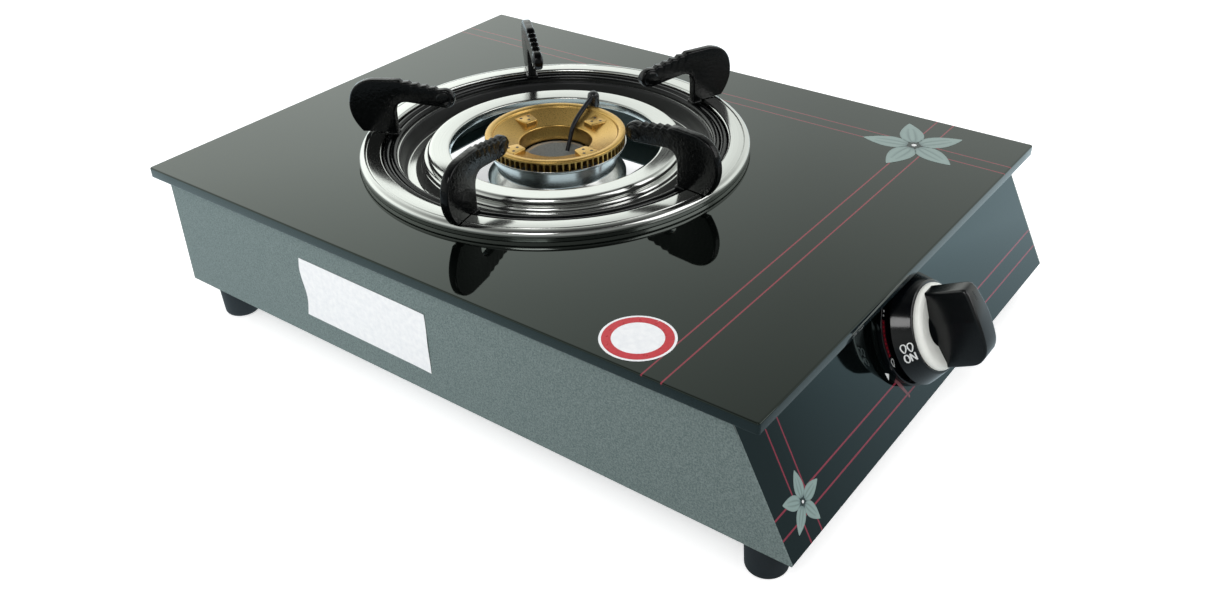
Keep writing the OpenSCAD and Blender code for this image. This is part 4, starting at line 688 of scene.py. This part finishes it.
def grip_bar():
    """Sections of the bar: half width w, foot and crown heights, round upper corners; w falls to the tip."""
    ease = np.linspace(0, math.pi / 2, 6)
    ends = GRIP_RIM * (1 - np.cos(ease))
    u = np.concatenate([ends - GRIP_HALF_L, np.linspace(-16, 16, 40), (GRIP_HALF_L - ends)[::-1]])
    u = np.unique(np.concatenate([u, [GRIP_TIP]]))
    pinch = np.maximum(GRIP_RIM - (GRIP_HALF_L - np.abs(u)), 0)
    draw = GRIP_RIM - np.sqrt(np.maximum(GRIP_RIM ** 2 - pinch ** 2, 0))
    taper = np.clip((u - GRIP_TAPER_FROM) / (GRIP_HALF_L - GRIP_TAPER_FROM), 0, 1)
    w = (GRIP_HALF_W - (GRIP_HALF_W - GRIP_TIP_HALF_W) * taper - draw)[:, None]
    high = np.interp(u, crown[:, 0], crown[:, 1])[:, None]
    rim = np.minimum(GRIP_RIM, 0.45 * np.maximum(high - GRIP_FOOT, 0.02))
    arc = np.linspace(0, math.pi / 2, 7)[None, :]
    side = w - rim * (1 - np.cos(arc))
    top = high - rim * (1 - np.sin(arc))
    flat = np.full_like(w, GRIP_FOOT)
    x = np.hstack([w, side, -side[:, ::-1], -w])
    z = np.hstack([flat, top, top[:, ::-1], flat])
    n = x.shape[1]
    points = np.stack([x, np.broadcast_to(u[:, None], x.shape), z], -1).reshape(-1, 3)
    faces = grid_quads(len(u), n, False, True).tolist()
    return points, faces + [list(range(n)), list(range((len(u) - 1) * n, len(u) * n))]


boss_r, boss_h = RING_IN_R - 0.1, RING_1 - RING_DISH
boss = [[AXIS_R, SKIRT_1], [boss_r, SKIRT_1], [boss_r, boss_h], [AXIS_R, boss_h]]
points, faces = joined([grip_bar(), turned(softened(boss, 0.2), np.zeros(3), 64)])
piece("grip_moulding", on_knob(points), faces, abs_satin, "knob", ["knob_grip"], "black_plastic", 45)
line, quads = ribbon(np.linspace((0, 11.5), (0, 16), 8), 1.2)
line_out = np.interp(line[:, 1], crown[:, 0], crown[:, 1]) + 0.04
piece("grip_index", on_knob(np.column_stack([line, line_out])), quads, ink_black, "knob")

# Return spring: a wound coil with closed end turns; the knob presses the real spring together as it goes in,
# and this coil is drawn at one fixed length
SPRING_R, SPRING_WIRE_R, SPRING_TURNS, SPRING_LOW, SPRING_HIGH, PUSH = 4.75, 0.6, 5, -22, -6, 3.5
along = np.linspace(0, 1, 181)
wound = 2 * math.pi * SPRING_TURNS * along
climb = np.interp(along, [0, 0.12, 0.88, 1], [0, 0.02, 0.98, 1])
climb *= SPRING_HIGH - SPRING_LOW - 2 * SPRING_WIRE_R
coil = np.stack([SPRING_R * np.cos(wound), SPRING_R * np.sin(wound), SPRING_LOW + SPRING_WIRE_R + climb], 1)
points, faces = tube(coil, SPRING_WIRE_R, 10, (0, 0, 1))
spring = piece("spring_coil", on_knob(points), faces, spring_steel, "stove", ["return_spring"],
               "spring_steel", 60)
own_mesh(spring)

# Marks on the skirt: ON and OFF, strokes laid on the sloping wall, reading outward
LETTER_H, LETTER_W, LETTER_GAP, STROKE, MARK_OUT = 4.2, 2.0, 0.7, 0.65, 12.3
# Heights of printed layers over the face they lie on
PRINT_LIFT, INK_1, INK_2, INK_3 = 0.05, 0.06, 0.09, 0.12
oval = np.linspace(0, 2 * math.pi, 28)
LETTERS = {
    "O": [np.stack([LETTER_W / 2 * (1 + np.cos(oval)), LETTER_H / 2 * (1 + np.sin(oval))], 1)],
    "N": [np.linspace((0, 0), (0, LETTER_H), 6), np.linspace((0, LETTER_H), (LETTER_W, 0), 8),
          np.linspace((LETTER_W, 0), (LETTER_W, LETTER_H), 6)],
    "F": [np.linspace((0, 0), (0, LETTER_H), 6), np.linspace((0, LETTER_H), (LETTER_W, LETTER_H), 6),
          np.linspace((0, LETTER_H * 0.55), (LETTER_W * 0.8, LETTER_H * 0.55), 6)],
}


def on_skirt(flat, middle_deg):
    """Plane points laid on the skirt's cone: x outward along the axis, y round it against the angle."""
    out_by = MARK_OUT + flat[:, 0]
    r = SKIRT_BASE_R + (SKIRT_R - SKIRT_BASE_R) * (out_by - SKIRT_0) / (SKIRT_1 - SKIRT_0) + INK_1
    turn_by = math.radians(middle_deg) - flat[:, 1] / r
    return on_knob(np.stack([r * np.cos(turn_by), r * np.sin(turn_by), out_by], 1))


def skirt_word(word, middle_deg):
    """A word with its letters one after another outward, each standing round the skirt."""
    step = LETTER_W + LETTER_GAP
    shift = [-(len(word) * step - LETTER_GAP) / 2, -LETTER_H / 2]
    parts = []
    for i, letter in enumerate(word):
        for stroke in LETTERS[letter]:
            flat, quads = ribbon(stroke, STROKE)
            parts.append((on_skirt(flat + shift + [i * step, 0], middle_deg), quads))
    return joined(parts)


for name, word, angle in (("mark_on", "ON", 188), ("mark_off", "OFF", 8)):
    piece(name, *skirt_word(word, angle), ink_white, "knob")
leaf, quads = ribbon(np.stack([np.sin(oval) * (1 - 0.4 * np.cos(oval)), -2.1 * np.cos(oval)], 1), 0.55)
flames = joined([(on_skirt(leaf + [shift, 0], 176), quads) for shift in (-1.4, 1.4)])
piece("mark_flames", *flames, ink_white, "knob")

# Bezel print: a dark red arc with a row of pale red dots, two white dots over it and a flame mark under it
DIAL_R = 26.2


def on_bezel(flat, lift=PRINT_LIFT):
    """Plane points laid just over the bezel's face."""
    return on_knob(np.column_stack([flat, np.full(len(flat), BEZEL_T + lift)]))


def round_dial(degrees):
    """Places at the dial's radius."""
    t = np.radians(degrees)
    return DIAL_R * np.stack([np.cos(t), np.sin(t)], 1)


flat, quads = ribbon(round_dial(np.linspace(143, 183, 25)), 2.6)
piece("dial_arc", on_bezel(flat), quads, ink_maroon, "stove")
for name, ink, degrees, reach in (("dial_ticks", ink_red, np.linspace(146, 181, 9), 0.55),
                                  ("dial_dots", ink_white, np.array([133.5, 138.5]), 0.6)):
    flat, face = patch(reach, 16)
    dots = joined([(on_bezel(flat + middle, INK_2), face) for middle in round_dial(degrees)])
    piece(name, *dots, ink, "stove")
flame = np.stack([0.9 * np.sin(oval) * (1 - 0.45 * np.cos(oval)) ** 1.4, -2.0 * np.cos(oval)], 1)
flat, quads = ribbon(flame + [-25.6, -4.9], 0.6)
piece("dial_flame", on_bezel(flat), quads, ink_white, "stove")
# Panel print under the dial: an arrow head and a faded stroke
arrow = np.array([[-30.4, -7.4], [-27.4, -9.6], [-29.4, -12.0]])
arrow = np.column_stack([arrow, np.full(3, PRINT_LIFT)])
piece("panel_arrow", on_knob(arrow), [[0, 1, 2]], ink_white, "stove")
flat, quads = ribbon(np.linspace((-24.2, -14.4), (-17.7, -27.6), 8), np.linspace(2.6, 1.4, 8))
pointer = np.column_stack([flat, np.full(len(flat), PRINT_LIFT)])
piece("panel_pointer", on_knob(pointer), quads, ink_pink, "stove")


# Flower prints: five leaf-shaped petals, half width W sin(pi s^0.72), veins marked on the mesh
def petals(reach, first_deg):
    """Five petals in a plane; returns points, quads and the vein mark of each point."""
    s = np.linspace(0, 1, 25)[:, None]
    t = np.linspace(-1, 1, 15)[None, :]
    length = reach * (0.1 + 0.9 * s)
    width = 0.23 * reach * np.sin(math.pi * s ** 0.72) ** 0.85 + 0.004 * reach
    fold = np.exp(-((np.abs(t) - 0.32) / 0.1) ** 2) * (s < 0.72) * (s > 0.08)
    fold = np.maximum(fold, np.exp(-(s / 0.1) ** 2))
    mark = (fold * (0.75 - 0.5 * s) + 0.25 * np.abs(t) ** 6 + 0 * t).ravel()
    x, y = (length + 0 * t).ravel(), (width * t).ravel()
    parts = []
    for turn_by in np.radians(first_deg + 72 * np.arange(5)):
        c, q = math.cos(turn_by), math.sin(turn_by)
        parts.append((np.stack([x * c - y * q, x * q + y * c], 1), grid_quads(25, 15, False, False)))
    points, quads = joined(parts)
    return points, quads, np.tile(mark, 5)


def on_glass(flat, x, y, lift):
    """Plane points laid on the glass about x, y from the glass's middle."""
    return np.column_stack([flat[:, 0] + x, flat[:, 1] + GLASS_Y + y, np.full(len(flat), TOP + lift)])


def on_panel(flat, x, up_from_knob, lift):
    """Plane points laid on the front panel."""
    across, up_by = flat[:, 0] + x - KNOB[0], flat[:, 1] + up_from_knob
    return on_knob(np.column_stack([across, up_by, np.full(len(flat), lift)]))


for name, lay, reach, first in (
        ("glass_flower", lambda f, z: on_glass(f, 112.7, -142.9, z), 29, 29.5),
        ("panel_flower", lambda f, z: on_panel(f, -125.2, -20.0, z), 14.4, 81)):
    flat, quads, mark = petals(reach, first)
    piece(name, lay(flat, INK_1), quads, petal_ink, "stove", attribute=("vein", mark))
    flat, face = patch(0.13 * reach)
    piece(name + "_eye", lay(flat, INK_2), face, ink_dark, "stove")
    flat, face = patch(0.05 * reach)
    piece(name + "_spot", lay(flat, INK_3), face, ink_white, "stove")

# Round sticker on the glass: white with a red border ring
STICKER_X, STICKER_Y, STICKER_R, BORDER_R, BORDER_W = -129.2, -124.7, 17.2, 13.9, 4.2
flat, face = patch(STICKER_R, 64)
piece("sticker", on_glass(flat, STICKER_X, STICKER_Y, 0.1), face, paper, "stove")
full_turn = np.linspace(0, 2 * math.pi, 65)
flat, quads = ribbon(BORDER_R * np.stack([np.cos(full_turn), np.sin(full_turn)], 1), BORDER_W)
piece("sticker_border", on_glass(flat, STICKER_X, STICKER_Y, 0.14), quads, ink_red, "stove")

# Blank paper label on the left side, lifting a little at its front end
SIDE_X, LABEL_REAR, LABEL_DROP, LABEL_L, LABEL_W = -147, 80, 20.5, 90.6, 35.5
u = np.linspace(0, 1, 40)[:, None]
v = np.linspace(0, 1, 16)[None, :]
lift = 0.15 + 10 * np.maximum(u - 0.85, 0) ** 2 + 0.12 * np.sin(9 * v + 3 * u) * u
label = np.stack([SIDE_X - lift, GLASS_Y + LABEL_REAR - LABEL_L * u + 1.2 * np.sin(7 * v) * (1 - u),
                  TOP - LABEL_DROP - LABEL_W * v - u], -1).reshape(-1, 3)
piece("side_label", label, grid_quads(40, 16, False, False), paper, "stove")

# Floor, light and world, in metres
FLOOR_HALF, FLOOR_GLOW, SKY_LIGHT, SKY_PEAK = 6, 0.55, 0.5, 1.75
floor_mesh = bpy.data.meshes.new("floor")
floor_corners = [(-FLOOR_HALF, -FLOOR_HALF, 0), (FLOOR_HALF, -FLOOR_HALF, 0), (FLOOR_HALF, FLOOR_HALF, 0),
                 (-FLOOR_HALF, FLOOR_HALF, 0)]
floor_mesh.from_pydata(floor_corners, [], [(0, 1, 2, 3)])
floor = bpy.data.objects.new("floor", floor_mesh)
bpy.context.scene.collection.objects.link(floor)
floor_white, tree, shader, place = surface("studio_floor_white", Roughness=0.9)
ray = add(tree, "ShaderNodeLightPath").outputs
# Shiny faces see a dim floor at the front left that brightens to the rear right, along x + y
where = add(tree, "ShaderNodeSeparateXYZ", links={0: place})
across = add(tree, "ShaderNodeMath", links={0: where.outputs[0], 1: where.outputs[1]}, operation="ADD")
dim = add(tree, "ShaderNodeMapRange", {"From Min": -0.35, "From Max": 0.15, "To Min": 0.25, "To Max": 1.3},
          {"Value": across.outputs[0]})
lit = add(tree, "ShaderNodeMix", {2: FLOOR_GLOW}, {0: ray["Is Glossy Ray"], 3: dim.outputs[0]})
shade = add(tree, "ShaderNodeMix", {6: tint("#f4f4f4"), 7: tint("#202423")}, {0: ray["Is Glossy Ray"]},
            data_type="RGBA")
own = add(tree, "ShaderNodeMath", links={0: ray["Is Camera Ray"], 1: ray["Is Glossy Ray"]},
          operation="MAXIMUM")
glow = add(tree, "ShaderNodeMath", links={0: lit.outputs[0], 1: own.outputs[0]}, operation="MULTIPLY")
cool = add(tree, "ShaderNodeMix", {6: (1, 1, 1, 1), 7: (0.8, 0.97, 1.05, 1)}, {0: ray["Is Glossy Ray"]},
           data_type="RGBA")
tree.links.new(cool.outputs[2], shader.inputs["Emission Color"])
tree.links.new(glow.outputs[0], shader.inputs["Emission Strength"])
tree.links.new(shade.outputs[2], shader.inputs["Base Color"])
floor_mesh.materials.append(floor_white)


def lamp(name, place, aim, size, power, glossy):
    """A square soft box at place, turned to aim (m)."""
    data = bpy.data.lights.new(name, "AREA")
    data.size, data.energy = size, power
    made = bpy.data.objects.new(name, data)
    bpy.context.scene.collection.objects.link(made)
    ahead = np.array(place, float) - np.array(aim, float)
    ahead /= np.linalg.norm(ahead)
    side = np.cross([0, 0, 1.0], ahead)
    side /= np.linalg.norm(side)
    turn_to = np.stack([side, np.cross(ahead, side), ahead], 1)
    made.matrix_world = Matrix([[*row, p] for row, p in zip(turn_to.tolist(), place)] + [[0, 0, 0, 1]])
    made.visible_glossy = glossy
    made.visible_camera = False


lamp("key", (-1.0, 0.3, 1.7), (0, 0, 0.05), 1.2, 5, False)
lamp("side", (-0.5, 0.1, 0.12), (-0.15, 0.06, 0.05), 0.2, 0.31, False)
lamp("window", (-1.32, -0.51, 1.51), (0, -0.18, 0.05), 0.6, 6, True)
lamp("fill", (0.6, -1.6, 1.2), (0, 0, 0.05), 1.5, 14, True)
lamp("rear", (0.5, 1.6, 1.7), (0, 0, 0.05), 1.4, 9, False)

world = bpy.data.worlds.new("studio")
bpy.context.scene.world = world
world.use_nodes = True
tree = world.node_tree
sky = tree.nodes["Background"]
way = add(tree, "ShaderNodeTexCoord")
axes = add(tree, "ShaderNodeSeparateXYZ", links={0: way.outputs["Generated"]})
heading = add(tree, "ShaderNodeMath", links={0: axes.outputs[1], 1: axes.outputs[0]}, operation="ARCTAN2")
share = add(tree, "ShaderNodeMapRange", {"From Min": -math.pi, "From Max": math.pi},
            {"Value": heading.outputs[0]})
# What shiny faces mirror: bright behind the stove, dim behind the camera and near black overhead.
# Brightness by height, from 0 below to 1 overhead, and by heading in degrees from the right, multiplied
BY_HEIGHT = [(0, 0.9), (0.35, 1), (0.42, 1), (0.5, 0.84), (0.545, 0.72), (0.61, 0.6), (0.7, 0.42),
             (0.82, 0.2), (1, 0.06)]
BY_HEADING = [(-180, 0.3), (-120, 0.18), (-50, 0.14), (-33, 0.72), (0, 0.62), (26, 0.6), (50, 0.96),
              (110, 0.9), (180, 0.3)]
greys = []
for value, stops in ((axes.outputs[2], BY_HEIGHT),
                     (share.outputs[0], [((degrees + 180) / 360, grey) for degrees, grey in BY_HEADING])):
    ramp = add(tree, "ShaderNodeValToRGB", links={0: value})
    for at, grey in stops[1:-1]:
        ramp.color_ramp.elements.new(at)
    for stop, (at, grey) in zip(ramp.color_ramp.elements, stops):
        stop.position = at
        stop.color = (grey, grey, grey, 1)
    greys.append(ramp.outputs["Color"])
both = add(tree, "ShaderNodeMath", links={0: greys[0], 1: greys[1]}, operation="MULTIPLY")
fall = add(tree, "ShaderNodeMath", {1: SKY_PEAK}, {0: both.outputs[0]}, operation="MULTIPLY")
ray = add(tree, "ShaderNodeLightPath").outputs
mirror = add(tree, "ShaderNodeMix", {2: SKY_LIGHT}, {0: ray["Is Glossy Ray"], 3: fall.outputs[0]})
level = add(tree, "ShaderNodeMix", {3: 1.0}, {0: ray["Is Camera Ray"], 2: mirror.outputs[0]})
hue = add(tree, "ShaderNodeMix", {6: (1, 1, 1, 1), 7: (0.96, 1, 0.96, 1)}, {0: ray["Is Glossy Ray"]},
          data_type="RGBA")
tree.links.new(hue.outputs[2], sky.inputs["Color"])
tree.links.new(level.outputs[0], sky.inputs["Strength"])
bpy.context.scene.view_settings.view_transform = "Standard"
